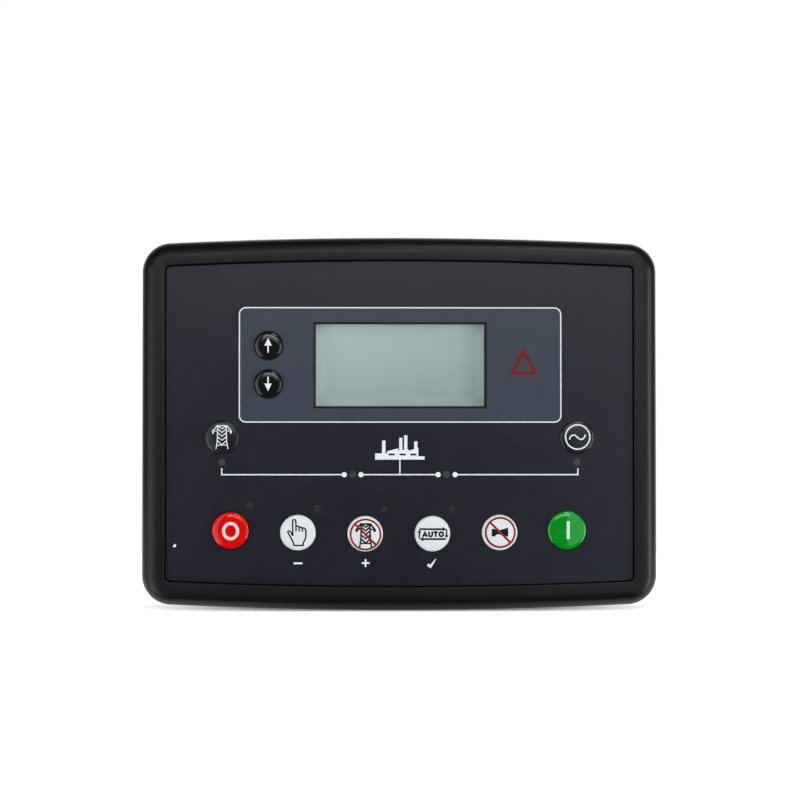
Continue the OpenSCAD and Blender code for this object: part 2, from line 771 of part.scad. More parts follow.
module rear_case() {
    color("#1f1f20") face_frame() difference() {
        union() {
            difference() {
                union() {
                    drafted_block([body_w, body_h], body_r, z_split, z_step, 0);
                    drafted_block([body_w, hump_h], hump_r, z_step + bite, z_hump, hump_draft);
                }
                layer(z_step_in, z_split + 1) polygon(round_rect(cavity_w, cavity_h, cavity_r));
                layer(z_hump_in, z_step_in + 1)
                    polygon(round_rect(cavity_w - 2 * hump_draft, hump_in_h - 2 * hump_draft, hump_r));
            }
            difference() {
                union() {
                    layer(z_split - lip_root, z_split)
                        polygon(round_rect(cavity_w + bite, cavity_h + bite, cavity_r));
                    layer(z_split - bite, z_split + lip_h)
                        polygon(round_rect(cavity_w - 2 * lip_gap, cavity_h - 2 * lip_gap, cavity_r));
                }
                layer(z_split - lip_root - 1, z_split + lip_h + 1)
                    polygon(round_rect(cavity_w - 2 * lip_in, cavity_h - 2 * lip_in, cavity_r));
            }
            at_places(case_screw_places) column(case_boss_d, z_step_in - bite, z_split);
            at_places(main_screw_places) column(pillar_d, z_hump_in - bite, z_main_back);
        }
        at_places(case_screw_places) {
            column(case_screw[0] + 2 * pass_gap, z_step - 1, z_split + 1);
            column(case_screw[1] + 2 * pass_gap, z_step - 1, z_step + case_screw_seat);
        }
        at_places(main_screw_places)
            column(board_screw[0] + 2 * screw_gap, z_main_back - board_screw_bite - bite, z_main_back + 1);
        for (i = [0 : len(top_ways) - 1]) at_plug(true, i) header_cut(top_ways[i]);
        for (i = [0 : len(bottom_ways) - 1]) at_plug(false, i) header_cut(bottom_ways[i]);
        translate(usb_place) layer(z_hump - 1, z_hump_in + 1)
            square([usb_w + 2 * case_cut_gap, usb_h + 2 * case_cut_gap], center = true);
        clip_slots_cut();
    }
}

module header_cut(n) {
    layer(z_step - 1, z_main_back)
        square([plug_w(n) + 2 * case_cut_gap, header_h + 2 * case_cut_gap], center = true);
}

bezel();
fascia_overlay();
panel_gasket();
display_window();
color("#c8201c") key(stop_key_at);  // stop_key
color("#dfe3e5") key(manual_key_at);  // manual_key
color("#dfe3e5") key(test_key_at);  // test_key
color("#dfe3e5") key(auto_key_at);  // auto_key
color("#dfe3e5") key(mute_key_at);  // mute_key
color("#16902c") key(start_key_at);  // start_key
color("#161616") key(up_key_at);  // up_key
color("#161616") key(down_key_at);  // down_key
color("#26272e") key(mains_key_at);  // mains_key
color("#26272e") key(generator_key_at);  // generator_key
plunger(stop_key_at);  // stop_plunger
plunger(manual_key_at);  // manual_plunger
plunger(test_key_at);  // test_plunger
plunger(auto_key_at);  // auto_plunger
plunger(mute_key_at);  // mute_plunger
plunger(start_key_at);  // start_plunger
plunger(up_key_at);  // up_plunger
plunger(down_key_at);  // down_plunger
plunger(mains_key_at);  // mains_plunger
plunger(generator_key_at);  // generator_plunger
push_switches();
lcd_cell();
lcd_frame();
lcd_backlight();
status_lamps();
alarm_lamp();
display_board();
display_board_screws();
processor();
board_link();
main_board();
main_board_screws();
output_relays();
smoothing_capacitors();
terminal_headers();
header_pins();
place_plug(true, 0);  // supply_plug
place_plug(true, 1);  // sensor_plug
place_plug(false, 0);  // input_plug
place_plug(false, 1);  // generator_plug
place_plug(false, 2);  // mains_plug
place_plug(false, 3);  // current_plug
terminal_screws();
usb_socket();
usb_tongue();
rear_case();
case_screws();
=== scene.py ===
import math

import bmesh
import bpy
import numpy as np
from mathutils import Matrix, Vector, geometry


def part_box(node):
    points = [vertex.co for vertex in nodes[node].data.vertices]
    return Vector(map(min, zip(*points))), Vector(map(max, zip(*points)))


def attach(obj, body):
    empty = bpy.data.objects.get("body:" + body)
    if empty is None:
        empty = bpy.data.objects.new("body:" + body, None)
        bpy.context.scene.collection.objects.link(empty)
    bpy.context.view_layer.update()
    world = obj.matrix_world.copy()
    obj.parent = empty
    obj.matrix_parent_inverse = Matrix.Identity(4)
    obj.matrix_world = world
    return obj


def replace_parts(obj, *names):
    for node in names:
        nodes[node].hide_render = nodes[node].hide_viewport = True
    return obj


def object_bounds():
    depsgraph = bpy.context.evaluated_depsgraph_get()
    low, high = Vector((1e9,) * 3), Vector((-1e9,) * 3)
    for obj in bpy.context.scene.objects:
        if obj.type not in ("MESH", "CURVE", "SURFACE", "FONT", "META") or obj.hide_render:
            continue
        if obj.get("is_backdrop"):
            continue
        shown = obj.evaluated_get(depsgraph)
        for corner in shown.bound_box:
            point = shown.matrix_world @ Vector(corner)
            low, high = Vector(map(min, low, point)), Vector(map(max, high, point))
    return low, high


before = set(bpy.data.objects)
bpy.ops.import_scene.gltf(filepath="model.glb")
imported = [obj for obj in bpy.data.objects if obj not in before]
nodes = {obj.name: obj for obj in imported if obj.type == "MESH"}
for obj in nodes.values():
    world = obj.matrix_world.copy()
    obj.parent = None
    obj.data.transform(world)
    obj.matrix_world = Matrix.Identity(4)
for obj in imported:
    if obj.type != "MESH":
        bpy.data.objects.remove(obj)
cadLow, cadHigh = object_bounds()
scene = bpy.context.scene
scene.view_settings.view_transform = "Standard"

# Points are worked out in millimetres on the face: x right, y up, z out of the panel.
# The world has the same x, with z out of the panel along -Y and y up along +Z, in metres.

perMetre = 1000.0  # millimetres in a metre
fullTurn = 2 * math.pi
weldDistance = 2e-7  # points of a piece that are nearer than this become one
sharpAngle = math.radians(40.0)  # edges that turn more than this stay sharp


def toWorld(points):
    return np.stack([points[..., 0], -points[..., 2], points[..., 1]], -1) / perMetre


def faceBox(node):  # a node's lowest and highest corner, in face millimetres
    low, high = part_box(node)
    return np.array([low.x, low.z, -high.y]) * perMetre, np.array([high.x, high.z, -low.y]) * perMetre


windowLedge = 1.4  # how far the clear window reaches under the fascia
faceTop = faceBox("fascia_overlay")[1][2]
windowBox = faceBox("display_window")
opening = windowBox[0][:2] + windowLedge, windowBox[1][:2] - windowLedge  # lower left and upper right corner


# quads of a grid of points, rows by columns, each turned to face the side of row x column
def gridFaces(rows, columns):
    row = np.arange(rows - 1)[:, None] * columns
    column = np.arange(columns - 1)[None, :]
    first = row + column
    return np.stack([first, first + columns, first + columns + 1, first + 1], -1).reshape(-1, 4)


def arc(centre, radius, angle, radiusY=None):  # points of a circle, or with two radii of an ellipse
    return np.stack([centre[0] + radius * np.cos(angle), centre[1] + (radiusY or radius) * np.sin(angle)], -1)


def withHeight(flat, height):  # face points with a height, one for all or one for each
    return np.concatenate([flat, np.broadcast_to(height, flat.shape[:-1])[..., None]], -1)


# grid turned about an axis out of the face: a circle of points for each radius and height
def turned(at, radius, height, turns):
    angle = np.linspace(0.0, fullTurn, turns + 1)
    return withHeight(arc(at, radius[:, None], angle), height[:, None])


# puts points and faces into a mesh, welds its doubles, and lets it ride on a body
def makePiece(name, points, faces, material, body="controller", closed=False):
    mesh = bpy.data.meshes.new(name)
    mesh.from_pydata(toWorld(points).tolist(), [], faces.tolist())
    shape = bmesh.new()
    shape.from_mesh(mesh)
    bmesh.ops.remove_doubles(shape, verts=shape.verts, dist=weldDistance)
    if closed:
        bmesh.ops.recalc_face_normals(shape, faces=shape.faces)
    shape.to_mesh(mesh)
    shape.free()
    mesh.polygons.foreach_set("use_smooth", np.ones(len(mesh.polygons), bool))
    mesh.set_sharp_from_angle(angle=sharpAngle)
    mesh.materials.append(material)
    mesh.update()
    piece = bpy.data.objects.new(name, mesh)
    scene.collection.objects.link(piece)
    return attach(piece, body)


# Materials

def linear(colour):  # from the 0 to 255 of a screen to the shader's numbers, by the sRGB curve
    value = np.array(colour) / 255.0
    value = np.where(value <= 0.04045, value / 12.92, ((value + 0.055) / 1.055) ** 2.4)
    return (*value.tolist(), 1.0)


def startMaterial(name):
    material = bpy.data.materials.new(name)
    material.use_nodes = True
    tree = material.node_tree
    place = tree.nodes.new("ShaderNodeTexCoord")
    return material, tree, tree.nodes["Principled BSDF"], place.outputs["Object"]


def feed(tree, node, inputs):  # each input gets a number, a colour, or another node's output
    for socket, value in inputs.items():
        if isinstance(value, bpy.types.NodeSocket):
            tree.links.new(value, node.inputs[socket])
        else:
            node.inputs[socket].default_value = value
    return node.outputs


def addNode(tree, kind, inputs):
    return feed(tree, tree.nodes.new("ShaderNode" + kind), inputs)


# 0 to 1 blotches, their size in millimetres
def addNoise(tree, place, size, stretch=(1, 1, 1), detail=3.0, crumb=0.5):
    stretched = addNode(tree, "Mapping", {"Vector": place, "Scale": stretch})["Vector"]
    return addNode(tree, "TexNoise", {"Vector": stretched, "Scale": perMetre / size, "Detail": detail,
                                      "Roughness": crumb})["Fac"]


# a pattern's fromLow to fromHigh spread over low to high
def addSpread(tree, value, low, high, fromLow=0.3, fromHigh=0.7):
    return addNode(tree, "MapRange", {"Value": value, "From Min": fromLow, "From Max": fromHigh,
                                      "To Min": low, "To Max": high})["Result"]


def addMath(tree, operation, *values):  # numbers or sockets
    step = tree.nodes.new("ShaderNodeMath")
    step.operation = operation
    return feed(tree, step, dict(enumerate(values)))[0]


def addLargest(tree, largest, *others):
    for other in others:
        largest = addMath(tree, "MAXIMUM", largest, other)
    return largest


def addLevel(tree, share, low, high):  # low where share is 0, high where it is 1; numbers or sockets
    return addNode(tree, "Mix", {"Factor": share, 2: low, 3: high})[0]


def addMix(tree, share, *colours):  # two colours, or sockets that give them
    mix = tree.nodes.new("ShaderNodeMix")
    mix.data_type = "RGBA"
    first, second = (c if isinstance(c, bpy.types.NodeSocket) else linear(c) for c in colours)
    return feed(tree, mix, {"Factor": share, 6: first, 7: second})[2]


def addBump(tree, height, depth, strength=1.0):  # depth of the relief in millimetres
    return addNode(tree, "Bump", {"Strength": strength, "Distance": depth / perMetre,
                                  "Height": height})["Normal"]


plainLook = {"stretch": (1, 1, 1), "detail": 3.0, "crumb": 0.5, "grainStretch": (1, 1, 1), "grainDetail": 2.0,
             "shine": 0.5, "shineTint": (255, 255, 255), "metal": 0.0, "glow": 0.0, "glowReach": 0.6}


# moulded or printed finish: colour mottled between two shades, roughness spread by the same
# blotches, and a fine grain as relief
def mouldedFinish(name, ownLook):
    look = plainLook | ownLook
    material, tree, shader, place = startMaterial(name)
    blotch = addNoise(tree, place, look["mottle"], look["stretch"], look["detail"], look["crumb"])
    grain = addNoise(tree, place, look["grain"], look["grainStretch"], look["grainDetail"])
    feed(tree, shader, {
        "Base Color": addMix(tree, addSpread(tree, blotch, 0.0, 1.0), look["dark"], look["light"]),
        "Roughness": addSpread(tree, blotch, *look["rough"]), "Normal": addBump(tree, grain, look["depth"]),
        "Specular IOR Level": look["shine"], "Specular Tint": linear(look["shineTint"]),
        "Metallic": look["metal"], "Subsurface Weight": look["glow"],
        "Subsurface Radius": (look["glowReach"] / perMetre,) * 3})
    return material


filmLook = {"mottle": 16.0, "detail": 9.0, "crumb": 0.82, "grain": 0.16, "depth": 0.004}
inkLook = {"rough": (0.42, 0.52), "mottle": 0.8, "grain": 0.12, "depth": 0.003}
lightInk = inkLook | {"mottle": 1.2, "shine": 0.3}
spotLook = {"rough": (0.3, 0.42), "grain": 0.2, "depth": 0.004}
glossLook = {"rough": (0.04, 0.07), "mottle": 5.0, "grain": 0.5, "depth": 0.002, "glow": 0.12}
resinLook = {"rough": (0.14, 0.22), "mottle": 1.4, "grain": 0.4, "depth": 0.003, "glow": 0.3}
finishes = {
    "bezelPlastic": {"dark": (9, 8, 10), "light": (14, 12, 14), "rough": (0.33, 0.41), "mottle": 9.0,
                     "detail": 8.0, "crumb": 0.75, "grain": 0.42, "depth": 0.012, "shine": 0.31},
    "fasciaFilm": filmLook | {"dark": (20, 20, 31), "light": (27, 27, 39), "rough": (0.29, 0.36),
                              "shine": 0.34},
    "slateInk": filmLook | {"dark": (52, 58, 70), "light": (60, 66, 78), "rough": (0.33, 0.41),
                            "shine": 0.26},
    "whiteInk": lightInk | {"dark": (222, 230, 234), "light": (232, 238, 241)},
    "stopInk": lightInk | {"dark": (244, 203, 205), "light": (252, 211, 213)},
    "startInk": lightInk | {"dark": (189, 229, 206), "light": (197, 237, 214)},
    "blackInk": inkLook | {"dark": (7, 7, 8), "light": (14, 14, 15), "rough": (0.45, 0.55), "shine": 0.2},
    "redInk": inkLook | {"dark": (138, 16, 24), "light": (154, 23, 30), "shine": 0.22},
    "alarmInk": inkLook | {"dark": (102, 14, 18), "light": (114, 17, 21), "rough": (0.4, 0.5), "mottle": 2.0,
                           "grain": 0.16, "shine": 0.24},
    "lampFilm": spotLook | {"dark": (46, 47, 48), "light": (60, 61, 60), "mottle": 0.9, "shine": 0.4},
    "dimLampFilm": spotLook | {"dark": (33, 32, 34), "light": (50, 49, 48), "mottle": 1.3, "shine": 0.3},
    # painted shade: the near-black sheet in the gap round the fascia
    "gapShade": {"dark": (3, 3, 3), "light": (6, 6, 7), "rough": (0.85, 0.95), "mottle": 3.0,
             "grain": 0.2, "depth": 0.003, "shine": 0.05},
    "redKey": glossLook | {"dark": (208, 8, 10), "light": (216, 13, 15), "shine": 0.45},
    "greenKey": glossLook | {"dark": (6, 134, 26), "light": (12, 143, 34), "shine": 1.0,
                             "shineTint": (180, 255, 205)},
    "whiteKey": {"dark": (218, 223, 225), "light": (228, 232, 234), "rough": (0.3, 0.4), "mottle": 0.7,
                 "grain": 0.22, "depth": 0.004, "shine": 0.4, "glow": 0.1},
    "blackKey": {"dark": (16, 16, 17), "light": (22, 22, 23), "rough": (0.05, 0.08), "mottle": 4.0,
                 "grain": 0.5, "depth": 0.002, "shine": 0.55},
    "fasciaKey": {"dark": (22, 22, 29), "light": (28, 28, 35), "rough": (0.24, 0.31), "mottle": 8.0,
                  "grain": 0.2, "depth": 0.003, "shine": 0.45},
    # partly the display's black border, partly painted shade round the display's opening
    "displayMaskAndShade": {"dark": (10, 11, 12), "light": (16, 17, 18), "rough": (0.5, 0.6), "mottle": 3.0,
                    "grain": 0.2, "depth": 0.003, "shine": 0.25},
    "gasketFoam": {"dark": (44, 44, 46), "light": (60, 60, 62), "rough": (0.8, 0.92), "mottle": 2.2,
                   "grain": 0.45, "depth": 0.05, "shine": 0.25},
    "switchPlastic": {"dark": (40, 40, 41), "light": (50, 50, 51), "rough": (0.42, 0.52), "mottle": 3.0,
                      "grain": 0.2, "depth": 0.006},
    "diffuserPlastic": {"dark": (222, 224, 216), "light": (234, 236, 230), "rough": (0.5, 0.6), "mottle": 6.0,
                        "grain": 0.4, "depth": 0.004, "glow": 0.2},
    "lampResin": resinLook | {"dark": (176, 174, 142), "light": (204, 202, 172)},
    "alarmResin": resinLook | {"dark": (140, 34, 30), "light": (172, 48, 42)},
    "chipResin": {"dark": (26, 26, 28), "light": (36, 36, 38), "rough": (0.5, 0.62), "mottle": 1.5,
                  "grain": 0.12, "depth": 0.008},
    "relayPlastic": {"dark": (34, 66, 120), "light": (42, 78, 136), "rough": (0.34, 0.44), "mottle": 5.0,
                     "grain": 0.3, "depth": 0.006},
    "sleeveFilm": {"dark": (30, 30, 40), "light": (42, 42, 52), "rough": (0.22, 0.32), "mottle": 2.5,
                   "grain": 0.6, "depth": 0.01},
    "terminalPlastic": {"dark": (36, 122, 70), "light": (46, 138, 82), "rough": (0.4, 0.5), "mottle": 4.5,
                        "grain": 0.3, "depth": 0.01},
    "casePlastic": {"dark": (30, 30, 31), "light": (37, 37, 38), "rough": (0.52, 0.64), "mottle": 12.0,
                    "grain": 0.42, "depth": 0.035, "shine": 0.4},
    "whitePlastic": {"dark": (214, 214, 206), "light": (228, 228, 222), "rough": (0.4, 0.5), "mottle": 2.0,
                     "grain": 0.3, "depth": 0.005},
    "sheetSteel": {"dark": (158, 160, 162), "light": (186, 188, 190), "rough": (0.24, 0.36), "mottle": 1.6,
                   "stretch": (0.08, 1, 1), "grain": 0.12, "grainStretch": (0.06, 1, 1), "depth": 0.003,
                   "metal": 1.0},
    "screwSteel": {"dark": (146, 148, 150), "light": (180, 182, 182), "rough": (0.26, 0.4), "mottle": 1.1,
                   "grain": 0.2, "depth": 0.005, "metal": 1.0},
    "contactBrass": {"dark": (182, 158, 96), "light": (206, 184, 122), "rough": (0.2, 0.32), "mottle": 0.9,
                     "grain": 0.2, "depth": 0.003, "metal": 1.0},
}
finish = {name: mouldedFinish(name, look) for name, look in finishes.items()}

board = {"mask": ((22, 78, 44), (30, 94, 54)), "mottle": 5.0, "track": (44, 122, 72), "trackPitch": 1.27,
         "trackShare": 0.24, "trackEdge": 0.08, "cell": 17.0, "turned": (0.49, 0.51), "filled": (0.39, 0.41),
         "relief": 0.03, "reliefStrength": 0.6, "sheen": 3.0, "rough": (0.24, 0.38)}


# solder mask over copper: bands of tracks run one way or the other, cell by cell
def boardFinish(look):
    material, tree, shader, place = startMaterial("circuitBoard")
    along = addNode(tree, "SeparateXYZ", {"Vector": place})
    cells = tree.nodes.new("ShaderNodeTexVoronoi")
    cells.distance = "CHEBYCHEV"
    cellTint = feed(tree, cells, {"Vector": place, "Scale": perMetre / look["cell"]})["Color"]
    chance = addNode(tree, "SeparateColor", {"Color": cellTint})
    half = look["trackPitch"] / 2 / perMetre
    edge = half * look["trackShare"], half * (look["trackShare"] + look["trackEdge"])
    bands = [addSpread(tree, addMath(tree, "PINGPONG", along[axis], half), 1.0, 0.0, *edge) for axis in "XZ"]
    tracks = addLevel(tree, addSpread(tree, chance["Red"], 0.0, 1.0, *look["turned"]), *bands)
    shown = addMath(tree, "MULTIPLY", tracks, addSpread(tree, chance["Green"], 0.0, 1.0, *look["filled"]))
    mask = addMix(tree, addSpread(tree, addNoise(tree, place, look["mottle"]), 0.0, 1.0), *look["mask"])
    feed(tree, shader, {"Base Color": addMix(tree, shown, mask, look["track"]),
                        "Roughness": addSpread(tree, addNoise(tree, place, look["sheen"]), *look["rough"]),
                        "Normal": addBump(tree, shown, look["relief"], look["reliefStrength"])})
    return material


finish["circuitBoard"] = boardFinish(board)

# top and bottom are painted light and shade; the pale edge colour is painted light over the recess's shade
display = {"top": (162, 176, 174), "bottom": (118, 144, 142), "paintedShadeDownShare": 0.6, "paintedShadeAcrossShare": 0.4,
           "paintedEdgeLight": (208, 224, 222), "paintedEdgeLightReach": 5.5, "paintedEdgeLightShare": 0.3, "dot": 0.56, "gapWidth": 0.06,
           "gap": (96, 112, 110), "gapShare": 0.06, "sheen": 4.0, "rough": (0.34, 0.42)}


# share of painted light that pales the display where the recess casts shade; it falls from the edge of the
# display's view inwards, as the largest of one fall from each side
def paintedEdgeLightMask(tree, along, look):
    falls = []
    for corner, way in zip(opening, (1, -1)):
        for axis, edge in zip("XZ", (corner / perMetre).tolist()):
            inner = edge + way * look["paintedEdgeLightReach"] / perMetre
            falls.append(addSpread(tree, along[axis], look["paintedEdgeLightShare"], 0.0, edge, inner))
    return addLargest(tree, *falls)


# reflective liquid crystal: painted light and shade make the colour lighter at the top and darker to the
# bottom corner, and painted light pales it towards its edges; with a faint dot raster
def displayFinish(look):
    material, tree, shader, place = startMaterial("lcdGlass")
    low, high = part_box("lcd_cell")
    along = addNode(tree, "SeparateXYZ", {"Vector": place})
    # painted light and shade: the colour darkens from the top towards the bottom corner
    down = addSpread(tree, along["Z"], 1.0, 0.0, low.z, high.z)
    across = addSpread(tree, along["X"], 0.0, look["paintedShadeAcrossShare"], low.x, high.x)
    fall = addMath(tree, "MULTIPLY_ADD", down, look["paintedShadeDownShare"], across)
    tint = addMix(tree, fall, look["top"], look["bottom"])
    # painted light: paler towards the view's edges, where the recess casts shade
    tint = addMix(tree, paintedEdgeLightMask(tree, along, look), tint, look["paintedEdgeLight"])
    upright = addNode(tree, "Mapping", {"Vector": place, "Rotation": (-math.pi / 2, 0, 0)})["Vector"]
    raster = tree.nodes.new("ShaderNodeTexBrick")
    raster.offset = 0.0
    dot = look["dot"] / perMetre
    gaps = feed(tree, raster, {"Vector": upright, "Scale": 1.0, "Brick Width": dot, "Row Height": dot,
                               "Mortar Size": dot * look["gapWidth"]})["Fac"]
    faint = addSpread(tree, gaps, 0.0, look["gapShare"], 0.0, 1.0)
    feed(tree, shader, {"Base Color": addMix(tree, faint, tint, look["gap"]),
                        "Roughness": addSpread(tree, addNoise(tree, place, look["sheen"]), *look["rough"])})
    return material


finish["lcdGlass"] = displayFinish(display)

window = {"tint": (248, 250, 249), "sheen": 7.0, "rough": (0.03, 0.07), "index": 1.49}


# clear acrylic sheet that lets lamps through to the display behind it
def windowFinish(look):
    material, tree, shader, place = startMaterial("clearWindow")
    glass = feed(tree, shader, {
        "Base Color": linear(look["tint"]), "Transmission Weight": 1.0, "IOR": look["index"],
        "Roughness": addSpread(tree, addNoise(tree, place, look["sheen"]), *look["rough"])})["BSDF"]
    clear = addNode(tree, "BsdfTransparent", {})["BSDF"]
    shadow = addNode(tree, "LightPath", {})["Is Shadow Ray"]
    both = addNode(tree, "MixShader", {"Fac": shadow, 1: glass, 2: clear})["Shader"]
    feed(tree, tree.nodes["Material Output"], {"Surface": both})
    return material


finish["clearWindow"] = windowFinish(window)
print("materials:", len(finish))

finishNodes = {
    "bezelPlastic": ("bezel",), "fasciaFilm": ("fascia_overlay",), "gasketFoam": ("panel_gasket",),
    "clearWindow": ("display_window",), "lcdGlass": ("lcd_cell",), "diffuserPlastic": ("lcd_backlight",),
    "lampResin": ("status_lamps",), "alarmResin": ("alarm_lamp",), "chipResin": ("processor",),
    "relayPlastic": ("output_relays",), "sleeveFilm": ("smoothing_capacitors",),
    "contactBrass": ("header_pins",), "whitePlastic": ("usb_tongue",), "casePlastic": ("rear_case",),
    "sheetSteel": ("lcd_frame", "usb_socket"), "circuitBoard": ("display_board", "main_board"),
    "screwSteel": ("display_board_screws", "main_board_screws", "terminal_screws", "case_screws"),
    "terminalPlastic": ("terminal_headers", "supply_plug", "sensor_plug", "input_plug", "generator_plug",
                        "mains_plug", "current_plug"),
}
nodeFinish = {node: name for name, group in finishNodes.items() for node in group}
for name, node in nodes.items():  # the switches, plungers and board link are plain plastic
    node.data.materials.clear()
    node.data.materials.append(finish[nodeFinish.get(name, "switchPlastic")])

# Border face

border = {"width": 216.8, "height": 157.2, "bow": 3.0, "band": 10.0, "crest": 11.0, "outerRound": 6.5,
          "crestDrop": 0.15, "innerRound": 0.35, "cornerR": 12.4, "foot": 8.5, "clear": 0.021,
          "cornerSteps": 40, "bowSteps": 90, "sideSteps": 30, "fallSteps": 20, "edgeSteps": 10}
gapShade = {"start": 0.05, "next": 0.1, "lift": 0.02}  # painted shade: a near-black sheet at the foot of the gap round the fascia


# outline of the bezel moved in by inset: a quarter circle at each corner, tangent to a straight side
# and to a long bow; x and y mirrored for the other three corners
def bezelOutline(inset, look):
    bowR = ((look["width"] / 2) ** 2 + look["bow"] ** 2) / (2 * look["bow"])
    bowY = look["height"] / 2 - bowR
    cornerX = look["width"] / 2 - look["cornerR"]
    cornerY = bowY + math.sqrt((bowR - look["cornerR"]) ** 2 - cornerX ** 2)
    turn = math.atan2(cornerY - bowY, cornerX)
    corner = np.linspace(0.0, turn, look["cornerSteps"])
    bow = np.linspace(turn, math.pi - turn, look["bowSteps"])[1:-1]
    inset = np.asarray(inset)[:, None]
    right = arc((cornerX, cornerY), look["cornerR"] - inset, corner)
    top = arc((0.0, bowY), bowR - inset, bow)
    left = np.stack([-right[:, ::-1, 0], right[:, ::-1, 1]], -1)
    half = np.concatenate([right, top, left], 1)
    whole = np.concatenate([half, -half], 1)
    return np.concatenate([whole, whole[:, :1]], 1)


# section of the border as inset and height: a quarter round, a falling arc tangent to the crest,
# a small round at the inner edge, and the wall down to the recess, clear of the facets behind it
def borderSection(look):
    crestRun = look["band"] - look["outerRound"]
    crestR = (crestRun ** 2 + look["crestDrop"] ** 2) / (2 * look["crestDrop"])
    rise = math.sqrt((crestR - look["innerRound"]) ** 2 - (crestRun - look["innerRound"]) ** 2)
    edgeTurn = math.atan2(rise, crestRun - look["innerRound"])
    side = np.linspace(math.pi, math.pi / 2, look["sideSteps"])
    fall = np.linspace(math.pi / 2, edgeTurn, look["fallSteps"])[1:]
    edge = np.linspace(edgeTurn, 0.0, look["edgeSteps"])[1:]
    inset = np.r_[look["outerRound"] * (1 + np.cos(side)), look["outerRound"] + crestR * np.cos(fall),
                  look["band"] + look["innerRound"] * (np.cos(edge) - 1), look["band"]]
    height = np.r_[look["crest"] - look["outerRound"] * (1 - np.sin(side)),
                   look["crest"] - crestR * (1 - np.sin(fall)),
                   look["crest"] - crestR + rise + look["innerRound"] * np.sin(edge), look["foot"]]
    return inset + look["clear"] * np.clip(inset - look["outerRound"], 0.0, 1.0) ** 2, height[:, None]


def borderStrip(inset, height):  # points and faces of a strip all round, one row for each inset
    grid = withHeight(bezelOutline(inset, border), height)
    return grid.reshape(-1, 3), gridFaces(*grid.shape[:2])[:, ::-1]


borderFace = makePiece("bezel_border_face", *borderStrip(*borderSection(border)), finish["bezelPlastic"])
fasciaInset = faceBox("bezel")[1][0] - faceBox("fascia_overlay")[1][0]
# painted shade: a near-black sheet from the border's wall across the gap to the fascia's edge
gapShadeInset = (border["band"] + gapShade["start"], border["band"] + gapShade["next"], fasciaInset)
makePiece("fascia_gap_shade", *borderStrip(gapShadeInset, border["foot"] + gapShade["lift"]), finish["gapShade"])
print("border face:", len(borderFace.data.polygons), "quads")

# Keys

keyKinds = {
    "redKey": {"names": ("stop",), "dome": 3.8, "slot": "red_key"},
    "whiteKey": {"names": ("manual", "test", "auto", "mute"), "dome": 3.2, "slot": "white_key"},
    "greenKey": {"names": ("start",), "dome": 3.8, "slot": "green_key"},
    "blackKey": {"names": ("up", "down"), "dome": 4.4, "slot": "black_key"},
    "fasciaKey": {"names": ("mains", "generator"), "dome": 2.4, "slot": "fascia_key"},
}
capBack = {"flangeW": 1.6, "flangeTop": 5.9, "flangeFoot": 4.7, "stemR": 2.5, "turns": 120, "rings": 40}
keys = {}
for finishName, kind in keyKinds.items():
    for name in kind["names"]:
        low, high = faceBox(name + "_key")
        keys[name] = {"dome": kind["dome"], "finish": finishName, "slot": kind["slot"],
                      "at": (low[:2] + high[:2]) / 2, "radius": (high[0] - low[0]) / 2 - capBack["flangeW"],
                      "rise": high[2] - faceTop, "foot": low[2]}


# cap turned about its axis: a superellipse from the crown to the rim, r = R sin(a)^(2/n) and
# z = face + rise cos(a)^(2/n), then the skirt, the flange and the stem
def keyCap(name, key):
    a = np.linspace(0.0, math.pi / 2, capBack["rings"])
    share = 2.0 / key["dome"]
    wide, stem = key["radius"] + capBack["flangeW"], capBack["stemR"]
    top, foot = capBack["flangeTop"], capBack["flangeFoot"]
    radius = np.r_[key["radius"] * np.sin(a) ** share, key["radius"], wide, wide, stem, stem, 0.0]
    height = np.r_[faceTop + key["rise"] * np.clip(np.cos(a), 0.0, 1.0) ** share, top, top, foot, foot,
                   key["foot"], key["foot"]]
    grid = turned(key["at"], radius, height, capBack["turns"])
    cap = makePiece(name + "_cap", grid.reshape(-1, 3), gridFaces(*grid.shape[:2]), finish[key["finish"]],
                    name + "_button", closed=True)
    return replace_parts(cap, name + "_key")


for name, key in keys.items():
    keyCap(name, key)
print("key caps:", len(keys))

# Print

ink = {"height": 0.03, "edge": 0.05, "step": 0.35, "layer": 0.0015, "bendMost": 2.4, "bendSharp": 0.3,
       "mitreLeast": 0.45, "edgeMost": 0.5, "areaEnd": 0.02, "areaSide": 0.04}


def pathPoints(station, knot, path):  # points of a path at stations between its knots
    return np.stack([np.interp(station, knot, path[:, 0]), np.interp(station, knot, path[:, 1])], -1)


